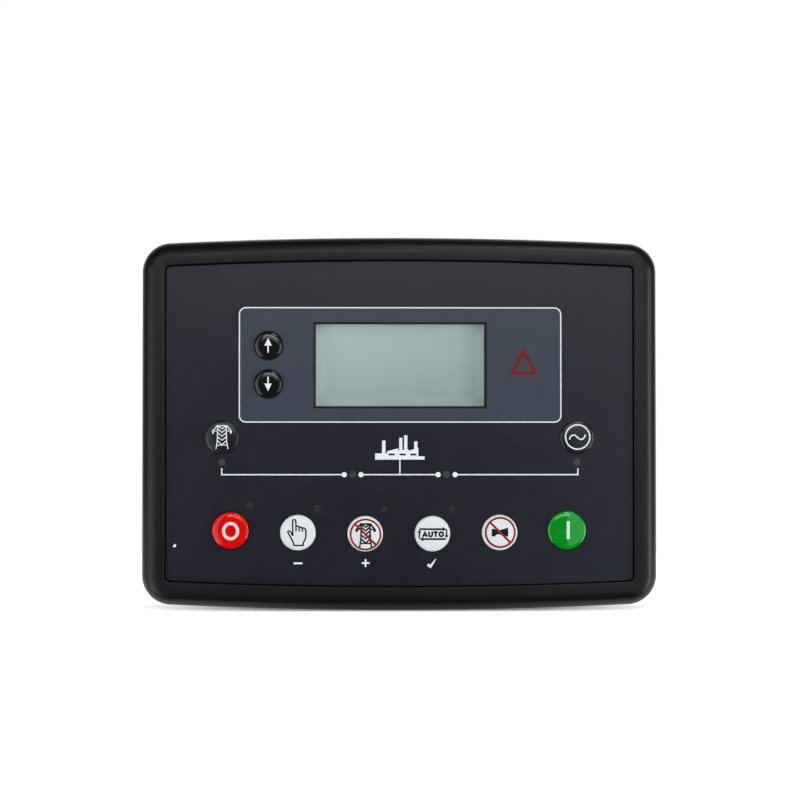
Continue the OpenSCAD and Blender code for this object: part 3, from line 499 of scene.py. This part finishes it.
# ribbon of ink: the path's points plus v times the mitred normal times half the width; its height
# falls to nothing along its edges and at open ends
def inkStroke(path, width, closed=False):
    path = np.asarray(path, float)
    if closed:
        path = np.concatenate([path, path[:1]])
    length = np.r_[0.0, np.cumsum(np.hypot(*np.diff(path, axis=0).T))]
    whole = length[-1]
    ends = [] if closed else [ink["edge"], whole - ink["edge"]]
    way = np.unwrap(np.arctan2(*np.diff(path, axis=0).T[::-1]))
    bend = np.abs(np.diff(np.r_[way[-1] if closed else way[0], way, way[0] if closed else way[-1]]))
    bend = np.minimum(bend, np.abs(fullTurn - bend))
    # no rows inside a mitre
    keep = width / 2 * np.tan(np.minimum(bend, ink["bendMost"]) / 2) + ink["edge"] * (bend > ink["bendSharp"])
    even = np.linspace(0.0, whole, int(whole / ink["step"]) + 2)
    even = even[(np.abs(even[:, None] - length) >= keep).all(1)]
    station = np.unique(np.round(np.r_[length, even, ends], 4))
    point = pathPoints(station, length, path)
    ahead = np.diff(point, axis=0)
    ahead = ahead / np.hypot(ahead[:, 0], ahead[:, 1])[:, None]
    before = np.concatenate([ahead[-1:] if closed else ahead[:1], ahead])
    after = np.concatenate([ahead, ahead[:1] if closed else ahead[-1:]])
    normalBefore = np.stack([-before[:, 1], before[:, 0]], -1)
    normalAfter = np.stack([-after[:, 1], after[:, 0]], -1)
    spread = np.maximum(1 + (normalBefore * normalAfter).sum(-1), ink["mitreLeast"])
    mitre = (normalBefore + normalAfter) / spread[:, None]
    edge = min(2 * ink["edge"] / width, ink["edgeMost"])
    across = np.array([-1.0, edge - 1.0, 0.0, 1.0 - edge, 1.0])
    flat = point[:, None] + across[None, :, None] * mitre[:, None] * width / 2
    end = np.clip(np.minimum(station, whole - station) / ink["edge"], 0, 1)
    if closed:
        end = np.ones(len(station))
    return flat, end[:, None] * np.array([0.0, 1.0, 1.0, 1.0, 0.0])


# patch of ink ruled between two curves: (1 - v) times the first plus v times the second; closed where
# both curves end where they start
def inkArea(first, second, rows=10, columns=9, closed=False):
    first, second = np.asarray(first, float), np.asarray(second, float)
    endShare, sideShare = ink["areaEnd"], ink["areaSide"]
    knot = np.linspace(0.0, 1.0, len(first))
    s = np.unique(np.round(np.r_[knot, np.linspace(0.0, 1.0, rows), endShare, 1 - endShare], 5))
    v = np.unique(np.r_[np.linspace(0.0, 1.0, columns), sideShare, 1 - sideShare])
    one, two = pathPoints(s, knot, first), pathPoints(s, knot, second)
    flat = one[:, None] * (1 - v)[None, :, None] + two[:, None] * v[None, :, None]
    end = np.ones(len(s)) if closed else np.minimum(s, 1 - s) / endShare
    return flat, np.minimum(end[:, None], np.minimum(v, 1 - v) / sideShare).clip(0, 1)


def inkDisc(centre, radius, steps=25):  # ruled between the lower and the upper half of a circle
    a = np.linspace(math.pi, 0.0, steps)
    return inkArea(arc(centre, radius, -a), arc(centre, radius, a))


def ring(centre, radiusX, radiusY=None, count=72):  # points of an ellipse
    return arc(centre, radiusX, np.linspace(0.0, fullTurn, count, endpoint=False), radiusY)


def bar(left, bottom, right, top):  # ink over a rectangle
    return inkArea([(left, bottom), (right, bottom)], [(left, top), (right, top)])


def beam(centre, halfX, halfY):  # the same, about its centre
    return bar(centre[0] - halfX, centre[1] - halfY, centre[0] + halfX, centre[1] + halfY)


# curve through points, each span the Catmull-Rom cubic of its four neighbours
def curveThrough(points, steps=8):
    p = np.asarray(points, float)
    p = np.concatenate([2 * p[:1] - p[1:2], p, 2 * p[-1:] - p[-2:-1]])
    t = np.linspace(0.0, 1.0, steps, endpoint=False)[None, :, None]
    a, b, c, d = (p[i:len(p) - 3 + i, None] for i in range(4))
    spans = 0.5 * (2 * b + (c - a) * t + (2 * a - 5 * b + 4 * c - d) * t ** 2
                   + (3 * b - a - 3 * c + d) * t ** 3)
    return np.concatenate([spans.reshape(-1, 2), p[-2:-1]])


# rectangle with round corners, as points
def roundRect(left, bottom, right, top, r, steps=10):
    a = np.linspace(0.0, math.pi / 2, steps)
    corners = ((right - r, top - r), (left + r, top - r), (left + r, bottom + r), (right - r, bottom + r))
    return np.concatenate([arc(corner, r, a + q * math.pi / 2) for q, corner in enumerate(corners)])


# lays patches on a surface: z = surface(x, y) + lift + ink height, each patch turned to face out
def inkPiece(name, patches, surface, material, body="controller", at=(0.0, 0.0), lift=0.0):
    points, faces, count = [], [], 0
    for layer, (flat, share) in enumerate(patches):
        z = surface(flat[..., 0], flat[..., 1]) + lift + layer * ink["layer"] + ink["height"] * share
        quads = gridFaces(*share.shape)
        corner = flat.reshape(-1, 2)[quads]
        one, two = corner[:, 2] - corner[:, 0], corner[:, 3] - corner[:, 1]
        if (one[:, 0] * two[:, 1] - one[:, 1] * two[:, 0]).sum() < 0:
            quads = quads[:, ::-1]
        points.append(withHeight(flat + np.asarray(at), z).reshape(-1, 3))
        faces.append(quads + count)
        count += share.size
    return makePiece(name, np.concatenate(points), np.concatenate(faces), material, body)


def flatSurface(height):  # z = height
    return lambda x, y: np.full(np.shape(x), height)


def domeSurface(key):  # z = face + rise (1 - (r / R)^n)^(1 / n)
    def height(x, y):
        share = np.clip(np.hypot(x, y) / key["radius"], 0.0, 1.0) ** key["dome"]
        return faceTop + key["rise"] * (1.0 - share) ** (1.0 / key["dome"])
    return height


faceSurface = flatSurface(faceTop)
lip = {"keys": ("mains", "generator"), "inner": 0.07, "outer": 0.75, "height": 0.03, "turnDown": 0.3,
       "out": (0.0, 0.0, 0.12, 0.5, 1.0), "swell": (0.0, 0.6, 1.0, 0.7, 0.0), "turns": 96}


# film drawn close round a key: a ring whose height falls to nothing outwards, turned down at the hole
def filmLip(look):
    reach = look["inner"] + (look["outer"] - look["inner"]) * np.array(look["out"])
    z = faceTop + look["height"] * np.array(look["swell"])
    z[0] -= look["turnDown"]
    rings = [turned(keys[k]["at"], keys[k]["radius"] + reach, z, look["turns"]) for k in look["keys"]]
    faces = gridFaces(*rings[0].shape[:2])
    points = np.concatenate([grid.reshape(-1, 3) for grid in rings])
    return points, np.concatenate([faces, faces + rings[0][..., 0].size])


makePiece("transfer_key_lips", *filmLip(lip), finish["fasciaFilm"])

fieldPrint = {"box": (-67.25, 0.58, 67.77, 48.62), "cornerR": 2.7, "line": 0.5, "keys": ("up", "down"),
              "keyGap": 0.3, "lift": 0.012, "merge": 1e-6}
fieldOutline = roundRect(*fieldPrint["box"], fieldPrint["cornerR"])


# sheet of slate ink inside the frame line: triangles between its outline and the openings in it,
# leaving out those whose middle lies over the display or a key
def slateField(look):
    low, high = opening
    holes = [(keys[k]["at"], keys[k]["radius"] + look["keyGap"]) for k in look["keys"]]
    loops = [fieldOutline, np.array([low, (high[0], low[1]), high, (low[0], high[1])])]
    loops += [ring(*hole) for hole in holes]
    first = np.cumsum([0] + [len(loop) for loop in loops])
    edges = np.concatenate([np.stack([np.arange(len(loop)), np.roll(np.arange(len(loop)), -1)], -1) + start
                            for loop, start in zip(loops, first)])
    corners = [Vector(p) for p in np.concatenate(loops)]
    flat, _, faces, *_ = geometry.delaunay_2d_cdt(corners, edges.tolist(), [], 1, look["merge"])
    flat, faces = np.array([p[:] for p in flat]), np.array(faces)
    middle = flat[faces].mean(1)
    over = ((middle > low) & (middle < high)).all(-1)
    for at, radius in holes:
        over |= np.hypot(*(middle - at).T) < radius
    return withHeight(flat, faceTop + look["lift"]), faces[~over]


makePiece("slate_field", *slateField(fieldPrint), finish["slateInk"])

mimic = {"y": -21.5, "ends": (-74.57, 74.89), "stub": -18.8, "dots": (-23.25, -16.19, 16.13, 23.29),
         "dotR": 1.1, "line": 0.54, "stemX": 0.1, "stemTop": -14.9}
plant = {"base": (-10.31, -15.19, 10.46, -13.79), "block": (-10.31, -15.19, -5.28, -12.58),
         "stacks": ((-7.41, -5.94, -7.2), (-0.19, 1.11, -6.08), (1.87, 3.25, -4.99), (6.1, 7.49, -7.51)),
         "stackFoot": 0.6, "shedFoot": 0.2,
         "sheds": ((-5.36, -0.57, -11.69, -10.4), (-0.6, 3.8, -11.3, -10.9), (3.75, 7.86, -11.53, -10.24)),
         "slots": ((-4.69, -2.09), (-0.07, 2.53), (4.42, 7.02)), "slotY": (-13.42, -12.66), "slotLift": 0.06}
signs = {"minus": (-42.6, -58.61), "plus": (-14.3, -58.5), "arm": 1.85, "plusArm": 1.62, "half": 0.38,
         "tickUpper": ((11.34, -59.39), (12.2, -58.75), (12.82, -59.3), (15.0, -56.78)),
         "tickLower": ((11.34, -59.39), (12.2, -60.2), (13.1, -60.72), (15.3, -57.0))}


def mimicLines(look):  # three runs of the line with its stubs, the stem to the plant, and the dots
    y, dots, ends = look["y"], look["dots"], look["ends"]
    paths = ([(ends[0], look["stub"]), (ends[0], y), (dots[0], y)], [(dots[1], y), (dots[2], y)],
             [(dots[3], y), (ends[1], y), (ends[1], look["stub"])],
             [(look["stemX"], y), (look["stemX"], look["stemTop"])])
    return [inkStroke(path, look["line"]) for path in paths] + [inkDisc((x, y), look["dotR"]) for x in dots]


def plantSign(look):  # a works seen from the side: base, block, stacks and sheds with sloping roofs
    stackFoot, shedFoot = look["block"][3] - look["stackFoot"], look["base"][3] - look["shedFoot"]
    stacks = [bar(left, stackFoot, right, top) for left, right, top in look["stacks"]]
    sheds = [inkArea([(left, shedFoot), (right, shedFoot)], [(left, low), (right, high)])
             for left, right, low, high in look["sheds"]]
    return [bar(*look["base"]), bar(*look["block"])] + stacks + sheds


def keySigns(look):  # minus, plus and tick below the keys
    return [beam(look["minus"], look["arm"], look["half"]), beam(look["plus"], look["plusArm"], look["half"]),
            beam(look["plus"], look["half"], look["plusArm"]), inkArea(look["tickLower"], look["tickUpper"])]


whitePrint = [inkStroke(fieldOutline, fieldPrint["line"], True)]
whitePrint += mimicLines(mimic) + plantSign(plant) + keySigns(signs)
inkPiece("white_print", whitePrint, faceSurface, finish["whiteInk"], lift=fieldPrint["lift"])
slots = [bar(left, plant["slotY"][0], right, plant["slotY"][1]) for left, right in plant["slots"]]
inkPiece("plant_slots", slots, faceSurface, finish["blackInk"], lift=fieldPrint["lift"] + plant["slotLift"])

alarm = {"x": 52.11, "apex": 30.35, "base": 21.35, "half": 4.85, "line": 1.6, "blunt": 0.6, "steps": 9,
         "rows": 60, "columns": 7}


# triangle drawn as a closed band: its inner corners sharp, its outer corners round
def alarmBand(look):
    corner = np.array([(look["x"], look["apex"]), (look["x"] - look["half"], look["base"]),
                       (look["x"] + look["half"], look["base"])])
    side = np.roll(corner, -1, 0) - corner
    normal = np.stack([side[:, 1], -side[:, 0]], -1) / np.hypot(side[:, 0], side[:, 1])[:, None]
    before = np.roll(normal, 1, 0)
    mitre = (before + normal) / (1 + (before * normal).sum(-1))[:, None]
    inner = corner - mitre * look["line"] / 2
    core = corner + mitre * (look["line"] / 2 - look["blunt"])
    first = np.arctan2(before[:, 1], before[:, 0])
    sweep = (np.arctan2(normal[:, 1], normal[:, 0]) - first) % fullTurn
    a = first[:, None] + sweep[:, None] * np.linspace(0.0, 1.0, look["steps"])
    outer = arc(core.T[..., None], look["blunt"], a)
    inner = np.broadcast_to(inner[:, None], outer.shape)
    outer, inner = outer.reshape(-1, 2), inner.reshape(-1, 2)
    return inkArea(np.r_[inner, inner[:1]], np.r_[outer, outer[:1]], look["rows"], look["columns"], True)


inkPiece("alarm_sign", [alarmBand(alarm)], faceSurface, finish["alarmInk"], lift=fieldPrint["lift"])

lamps = {"source": -16.4, "load": (19.65, -21.5), "modeOffset": (8.1, 10.1), "radius": 1.45}
lineSpots = [(keys[k]["at"][0], lamps["source"]) for k in ("mains", "generator")]
lineSpots += [(side * lamps["load"][0], lamps["load"][1]) for side in (-1, 1)]
modeSpots = [tuple(keys[k]["at"] + lamps["modeOffset"]) for k in ("stop", "manual", "test", "auto")]
spotRows = (("line_lamp_spots", lineSpots, "lampFilm"), ("mode_lamp_spots", modeSpots, "dimLampFilm"))
for name, spots, film in spotRows:
    inkPiece(name, [inkDisc(spot, lamps["radius"]) for spot in spots], faceSurface, finish[film])

fleck = {"at": (-94.2, -51.2), "left": ((-0.6, -0.65), (-0.75, -0.3), (-0.4, 0.3), (-0.2, 0.65)),
         "right": ((0.2, -0.65), (0.55, -0.3), (0.65, 0.3), (0.3, 0.7))}
inkPiece("paint_fleck", [inkArea(fleck["left"], fleck["right"])], faceSurface, finish["whiteInk"],
         at=fleck["at"])

# bar widths are partly the cell's black border and the window's outline, partly painted shade of the recess
maskAndShadeLines = {"inside": {"left": 0.45, "right": 0.65, "top": 0.55, "bottom": 0.6}, "under": 0.5,
             "outline": {"left": 0.42, "right": 0.28, "top": 0.12, "bottom": 0.42}}


# four black bars round the display's opening, from out millimetres outside it to the given widths inside;
# partly black print, partly painted shade of the recess's walls
def blackFrame(inside, out):
    (left, bottom), (right, top) = opening
    outer = (left - out["left"], bottom - out["bottom"], right + out["right"], top + out["top"])
    return [bar(outer[0], outer[1], left + inside["left"], outer[3]),
            bar(right - inside["right"], outer[1], outer[2], outer[3]),
            bar(outer[0], top - inside["top"], outer[2], outer[3]),
            bar(outer[0], outer[1], outer[2], bottom + inside["bottom"])]


cellEdge = blackFrame(maskAndShadeLines["inside"], dict.fromkeys(maskAndShadeLines["inside"], maskAndShadeLines["under"]))
inkPiece("display_edge", cellEdge, flatSurface(faceBox("lcd_cell")[1][2]), finish["displayMaskAndShade"])
windowEdge = blackFrame(dict.fromkeys(maskAndShadeLines["outline"], 0.0), maskAndShadeLines["outline"])
inkPiece("window_outline", windowEdge, faceSurface, finish["displayMaskAndShade"], lift=fieldPrint["lift"])
print("fascia print done")

# Marks on the keys, in millimetres from each key's middle

pylon = {"top": (2.0, 4.83), "arm": (3.88, 2.58), "drop": (3.65, 1.5), "neck": (1.8, 4.5),
         "waist": (1.95, -1.35), "foot": (2.5, -4.95), "tie": 1.7, "bar": (2.2, -3.31),
         "dropStart": (0.0, 0.1),
         "vees": ((4.64, 3.52), (3.52, 2.02), (1.93, 0.43), (0.24, -1.25), (-1.35, -3.22)),
         "armLine": 1.1, "dropLine": 1.5, "tieLine": 0.8}


def pylonSign(line, shift):  # lattice mast: two legs, cross arms with hanging ends, and five vees
    strokes = []
    for side in (-1, 1):
        top, arm, drop, neck, waist, foot = (np.array(pylon[part]) * (side, 1)
                                             for part in ("top", "arm", "drop", "neck", "waist", "foot"))
        strokes += [inkStroke([neck, waist, foot], line),
                    inkStroke([(0.0, top[1]), top, arm], line * pylon["armLine"]),
                    inkStroke([arm + pylon["dropStart"], drop], line * pylon["dropLine"]),
                    inkStroke([arm, (side * pylon["tie"], arm[1])], line * pylon["tieLine"])]
    reach = np.interp([vee[0] for vee in pylon["vees"]], [waist[1], neck[1]], [waist[0], neck[0]])
    strokes += [inkStroke([(-x, high), (0.0, low), (x, high)], line)
                for x, (high, low) in zip(reach, pylon["vees"])]
    x, y = pylon["bar"]
    strokes += [inkStroke([(-x, y), (x, y)], line * pylon["tieLine"])]
    return [(flat + np.asarray(shift), share) for flat, share in strokes]


def banSign(centre, radius, line, barLine=1.1):  # ring with a bar from the upper left to the lower right
    reach = radius * math.sqrt(0.5)
    x, y = centre
    return [inkStroke(ring(centre, radius), line, True),
            inkStroke([(x - reach, y + reach), (x + reach, y - reach)], line * barLine)]


def arrowHead(tip, back, half):  # triangle from its tip to both ends of its back edge
    tip, back = np.asarray(tip, float), np.asarray(back, float)
    ahead = (tip - back) / np.hypot(*(tip - back))
    side = np.array([-ahead[1], ahead[0]]) * half
    return inkArea([tip, back + side], [tip, back - side])


hand = {"line": 0.62,
        "curves": (((-2.05, -1.3), (-2.08, 2.0), (-2.12, 4.8), (-1.9, 5.35), (-1.46, 5.5), (-1.0, 5.35),
                    (-0.8, 4.8), (-0.72, 2.7), (-0.66, 0.6)),
                   ((-0.7, 2.62), (-0.2, 2.82), (0.35, 2.62), (0.6, 2.2), (0.62, 0.5)),
                   ((0.62, 2.25), (1.1, 2.4), (1.65, 2.2), (1.9, 1.8), (1.95, 0.35)),
                   ((1.88, 1.9), (2.5, 1.98), (3.1, 1.65), (3.4, 1.0), (3.42, 0.2), (3.36, -1.75),
                    (2.95, -3.1), (2.35, -4.15), (2.33, -4.6), (2.37, -5.28)),
                   ((-1.73, -5.28), (-1.72, -4.6), (-1.85, -4.1), (-2.9, -2.0), (-3.95, -0.1), (-4.1, 0.45),
                    (-3.6, 0.75), (-2.95, 0.4), (-2.05, -1.25))),
        "palm": ((2.5, -5.28), (-1.85, -5.28))}


def handSign(look):  # finger, three knuckles and thumb as curves, and the straight edge below
    curves = [inkStroke(curveThrough(curve), look["line"]) for curve in look["curves"]]
    return curves + [inkStroke(look["palm"], look["line"])]


autoSign = {"line": 0.78, "thin": 0.8, "aLegs": ((-4.02, -1.3), (-3.16, 0.8), (-2.3, -1.3)),
            "aBar": ((-3.7, -0.6), (-2.6, -0.6)),
            "u": ((-1.44, 0.99), (-1.44, -0.4), (-1.24, -0.9), (-0.79, -1.06), (-0.34, -0.9), (-0.14, -0.4),
                  (-0.14, 0.99)),
            "tBar": ((0.4, 0.72), (2.24, 0.72)), "tStem": ((1.32, 0.7), (1.32, -1.31)),
            "o": ((3.68, -0.16), 0.8, 0.88)}
autoArrows = (  # each with its shaft's ends, its head's tip and back, the head's half width and the line
    {"shaft": ((-5.5, 1.96), (4.8, 1.96)), "head": ((5.8, 1.96), (4.3, 1.96)), "half": 0.92, "line": 0.78},
    {"shaft": ((5.9, 1.96), (5.9, -0.9)), "head": ((5.9, -1.95), (5.9, -0.6)), "half": 0.82, "line": 0.624},
    {"shaft": ((5.6, -2.2), (-4.4, -2.2)), "head": ((-5.4, -2.2), (-3.9, -2.2)), "half": 0.92, "line": 0.78},
    {"shaft": ((-5.5, -2.0), (-5.5, 0.76)), "head": ((-5.5, 1.86), (-5.5, 0.51)), "half": 0.82,
     "line": 0.624},
)


def arrow(look):
    return [inkStroke(look["shaft"], look["line"]), arrowHead(*look["head"], look["half"])]


def autoLoop(look):  # the word in capitals, with four arrows running clockwise round it
    line = look["line"]
    letters = [inkStroke(look["aLegs"], line), inkStroke(look["aBar"], line * look["thin"]),
               inkStroke(curveThrough(look["u"]), line), inkStroke(look["tBar"], line),
               inkStroke(look["tStem"], line), inkStroke(ring(*look["o"]), line, True)]
    return letters + [patch for each in autoArrows for patch in arrow(each)]


horn = {"x": (-3.45, -1.85, -1.8, -0.6, 3.5), "low": (-1.55, -1.55, -1.0, -0.65, -1.75),
        "high": (1.6, 1.6, 1.2, 0.9, 2.1), "rows": 24}


def hornSign(look):  # horn seen from the side: a short block, a waist and a wide mouth
    low, high = (np.stack([look["x"], look[edge]], -1) for edge in ("low", "high"))
    return [inkArea(low, high, look["rows"])]


upArrow = {"shaft": ((0.0, -3.0), (0.0, 0.4)), "head": ((0.0, 3.1), (0.0, -0.1)), "half": 1.55, "line": 0.62}
downArrow = upArrow | {part: -np.array(upArrow[part]) for part in ("shaft", "head")}
wave = {"centre": (0.2, 0.1), "ringR": 5.1, "ringLine": 0.58, "line": 0.56,
        "curve": ((-3.45, -1.12), (-3.3, -0.28), (-2.64, 0.47), (-1.7, 0.84), (-0.77, 0.47), (0.07, -0.37),
                  (1.1, -0.94), (2.04, -0.84), (2.88, 0.0), (3.13, 1.03))}


def waveSign(look):  # one wave in a ring
    curve = curveThrough(np.array(look["curve"]) + look["centre"])
    circle = ring(look["centre"], look["ringR"])
    return [inkStroke(circle, look["ringLine"], True), inkStroke(curve, look["line"])]


letterO = {"centre": (0.2, -0.2), "radiusX": 2.93, "radiusY": 3.2}
marks = {
    "stop": [("stopInk", [inkStroke(ring(**letterO), width=1.3, closed=True)])],
    "start": [("startInk", [bar(left=-0.22, bottom=-3.65, right=1.1, top=3.9)])],
    "manual": [("blackInk", handSign(hand))],
    "test": [("blackInk", pylonSign(line=0.7, shift=(0.19, -0.72))),
             ("redInk", banSign(centre=(0.16, -0.29), radius=6.26, line=0.82))],
    "auto": [("blackInk", autoLoop(autoSign))],
    "mute": [("blackInk", hornSign(horn)), ("redInk", banSign(centre=(0.19, 0.08), radius=6.1, line=0.86))],
    "up": [("whiteInk", arrow(upArrow))],
    "down": [("whiteInk", arrow(downArrow))],
    "mains": [("whiteInk", pylonSign(line=0.4, shift=(0.1, 0.0)))],
    "generator": [("whiteInk", waveSign(wave))],
}
markLift = {"first": 0.004, "step": 0.02}
for name, layers in marks.items():
    for layer, (inkName, patches) in enumerate(layers):
        inkPiece(f"{name}_mark_{layer + 1}", patches, domeSurface(keys[name]), finish[inkName],
                 name + "_button", keys[name]["at"], markLift["first"] + markLift["step"] * layer)
print("key marks:", sum(len(layers) for layers in marks.values()))

# Camera, from the photograph's own view

view = {"distance": 0.7, "azimuth": -0.66, "elevation": -1.0, "lens": 74.07, "sensor": 36.0, "near": 0.01,
        "middle": (399.4, 423.8), "frame": 800.0}
turn, rise = math.radians(view["azimuth"]), math.radians(view["elevation"])
away = Vector((math.sin(turn) * math.cos(rise), -math.cos(turn) * math.cos(rise), math.sin(rise)))
camera = bpy.data.objects.new("camera", bpy.data.cameras.new("camera"))
camera.location = away * view["distance"]
camera.rotation_euler = (-away).to_track_quat("-Z", "Y").to_euler()
camera.data.sensor_width = view["sensor"]
camera.data.lens = view["lens"]
camera.data.shift_x = (view["frame"] / 2 - view["middle"][0]) / view["frame"]
camera.data.shift_y = (view["middle"][1] - view["frame"] / 2) / view["frame"]
camera.data.clip_start = view["near"]
scene.collection.objects.link(camera)
scene.camera = camera

# Light: a wide dim panel and a strip at each side and above, two soft boxes, and a panel behind

lights = {
    "leftPanel": {"at": (-0.364, -0.45, 0.075), "size": (0.312, 0.65), "level": 1.16,
                  "aim": (-0.364, 0.0, 0.075), "tint": (0.86, 0.96, 1.0)},
    "rightPanel": {"at": (0.32, -0.45, 0.075), "size": (0.398, 0.65), "level": 0.84,
                   "aim": (0.32, 0.0, 0.075), "tint": (0.86, 0.96, 1.0)},
    "leftStrip": {"at": (-0.85, -0.5, -0.2), "size": (0.6, 0.9), "level": 1.8},
    "rightStrip": {"at": (0.9, -0.4, -0.18), "size": (0.35, 0.9), "level": 5.6},
    "leftBox": {"at": (-0.62, -0.4, -0.5), "size": (0.3, 0.3), "level": 3.0},
    "rightBox": {"at": (0.25, -0.61, 0.72), "size": (0.4, 0.1), "level": 13.0},
    "topPanel": {"at": (0.0, -0.95, 0.36), "size": (0.48, 0.42), "level": 1.7},
    "topStrip": {"at": (0.0, -0.94, 0.33), "size": (0.5, 0.07), "level": 5.0},
    "backPanel": {"at": (0.2, 1.1, 0.6), "size": (1.2, 0.8), "level": 0.9},
}
for name, light in lights.items():
    lamp = bpy.data.lights.new(name, "AREA")
    lamp.shape = "RECTANGLE"
    lamp.size, lamp.size_y = light["size"]
    lamp.energy = light["level"] * math.pi * lamp.size * lamp.size_y  # level is the panel's own brightness
    lamp.color = light.get("tint", (1.0, 1.0, 1.0))
    lampObject = bpy.data.objects.new(name, lamp)
    lampObject.location = light["at"]
    aim = Vector(light.get("aim", (0.0, 0.0, 0.0))) - Vector(light["at"])
    lampObject.rotation_euler = aim.to_track_quat("-Z", "Y").to_euler()
    lampObject.visible_camera = False
    scene.collection.objects.link(lampObject)

surround = {"room": 0.2, "gloom": 0.04, "white": 1.0, "glossEdge": (0.25, 0.75), "glassEdge": (-0.15, 0.15)}


# white for the camera, and for gloss and glass that see what is behind the part; in front, gloss sees
# the dark round the camera, and everything else an even room
def worldLight(look):
    world = bpy.data.worlds.new("studio")
    world.use_nodes = True
    scene.world = world
    tree = world.node_tree
    rays = addNode(tree, "LightPath", {})
    place = addNode(tree, "TexCoord", {})["Generated"]
    depth = addNode(tree, "SeparateXYZ", {"Vector": place})["Y"]
    level = addLevel(tree, rays["Is Glossy Ray"], look["room"],
                     addSpread(tree, depth, look["gloom"], look["white"], *look["glossEdge"]))
    level = addLevel(tree, rays["Is Transmission Ray"], level,
                     addSpread(tree, depth, look["room"], look["white"], *look["glassEdge"]))
    level = addLevel(tree, rays["Is Camera Ray"], level, look["white"])
    feed(tree, tree.nodes["Background"], {"Strength": level, "Color": (1, 1, 1, 1)})


worldLight(surround)

floor = {"middle": 0.184, "half": (0.4, 0.195), "dark": (228, 228, 228), "light": (233, 233, 233),
         "blotch": 60.0, "rough": 0.9, "shine": 0.1, "lift": (0.2, 1.0), "liftReach": (0.5, 1.0),
         "shadeMiddle": 0.01, "shadeHalf": (0.135, 0.04)}


# near-white sheet under the part: its own light for what the camera, gloss and glass see grows outwards from
# the part's foot, so that it is white out of the shade and ends without a line; dimmest at the foot, it
# paints shade
def makeFloor(look):
    wide, deep = look["half"]
    front, back = look["middle"] - deep, look["middle"] + deep
    corners = ((-wide, front), (wide, front), (wide, back), (-wide, back))
    mesh = bpy.data.meshes.new("floor")
    mesh.from_pydata([(x, y, cadLow.z) for x, y in corners], [], [(0, 1, 2, 3)])
    material, tree, shader, place = startMaterial("floorPaper")
    rays = addNode(tree, "LightPath", {})
    seen = addLargest(tree, rays["Is Camera Ray"], rays["Is Glossy Ray"], rays["Is Transmission Ray"])
    shadeWide, shadeDeep = look["shadeHalf"]
    start = (0.0, -look["shadeMiddle"] / shadeDeep, -cadLow.z)
    inside = addNode(tree, "Mapping", {"Vector": place, "Scale": (1 / shadeWide, 1 / shadeDeep, 1.0),
                                       "Location": start})["Vector"]
    reach = tree.nodes.new("ShaderNodeVectorMath")
    reach.operation = "LENGTH"
    out = feed(tree, reach, {0: inside})["Value"]
    # painted shade: the floor's own light is lowest round the part's foot
    glow = addSpread(tree, out, *look["lift"], *look["liftReach"])
    feed(tree, shader, {
        "Base Color": addMix(tree, addNoise(tree, place, look["blotch"]), look["dark"], look["light"]),
        "Roughness": look["rough"], "Specular IOR Level": look["shine"],
        "Emission Strength": addLevel(tree, seen, 0.0, glow), "Emission Color": (1, 1, 1, 1)})
    mesh.materials.append(material)
    floorObject = bpy.data.objects.new("floor", mesh)
    scene.collection.objects.link(floorObject)
    floorObject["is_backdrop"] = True


makeFloor(floor)
print("camera, light and floor done")

low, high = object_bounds()
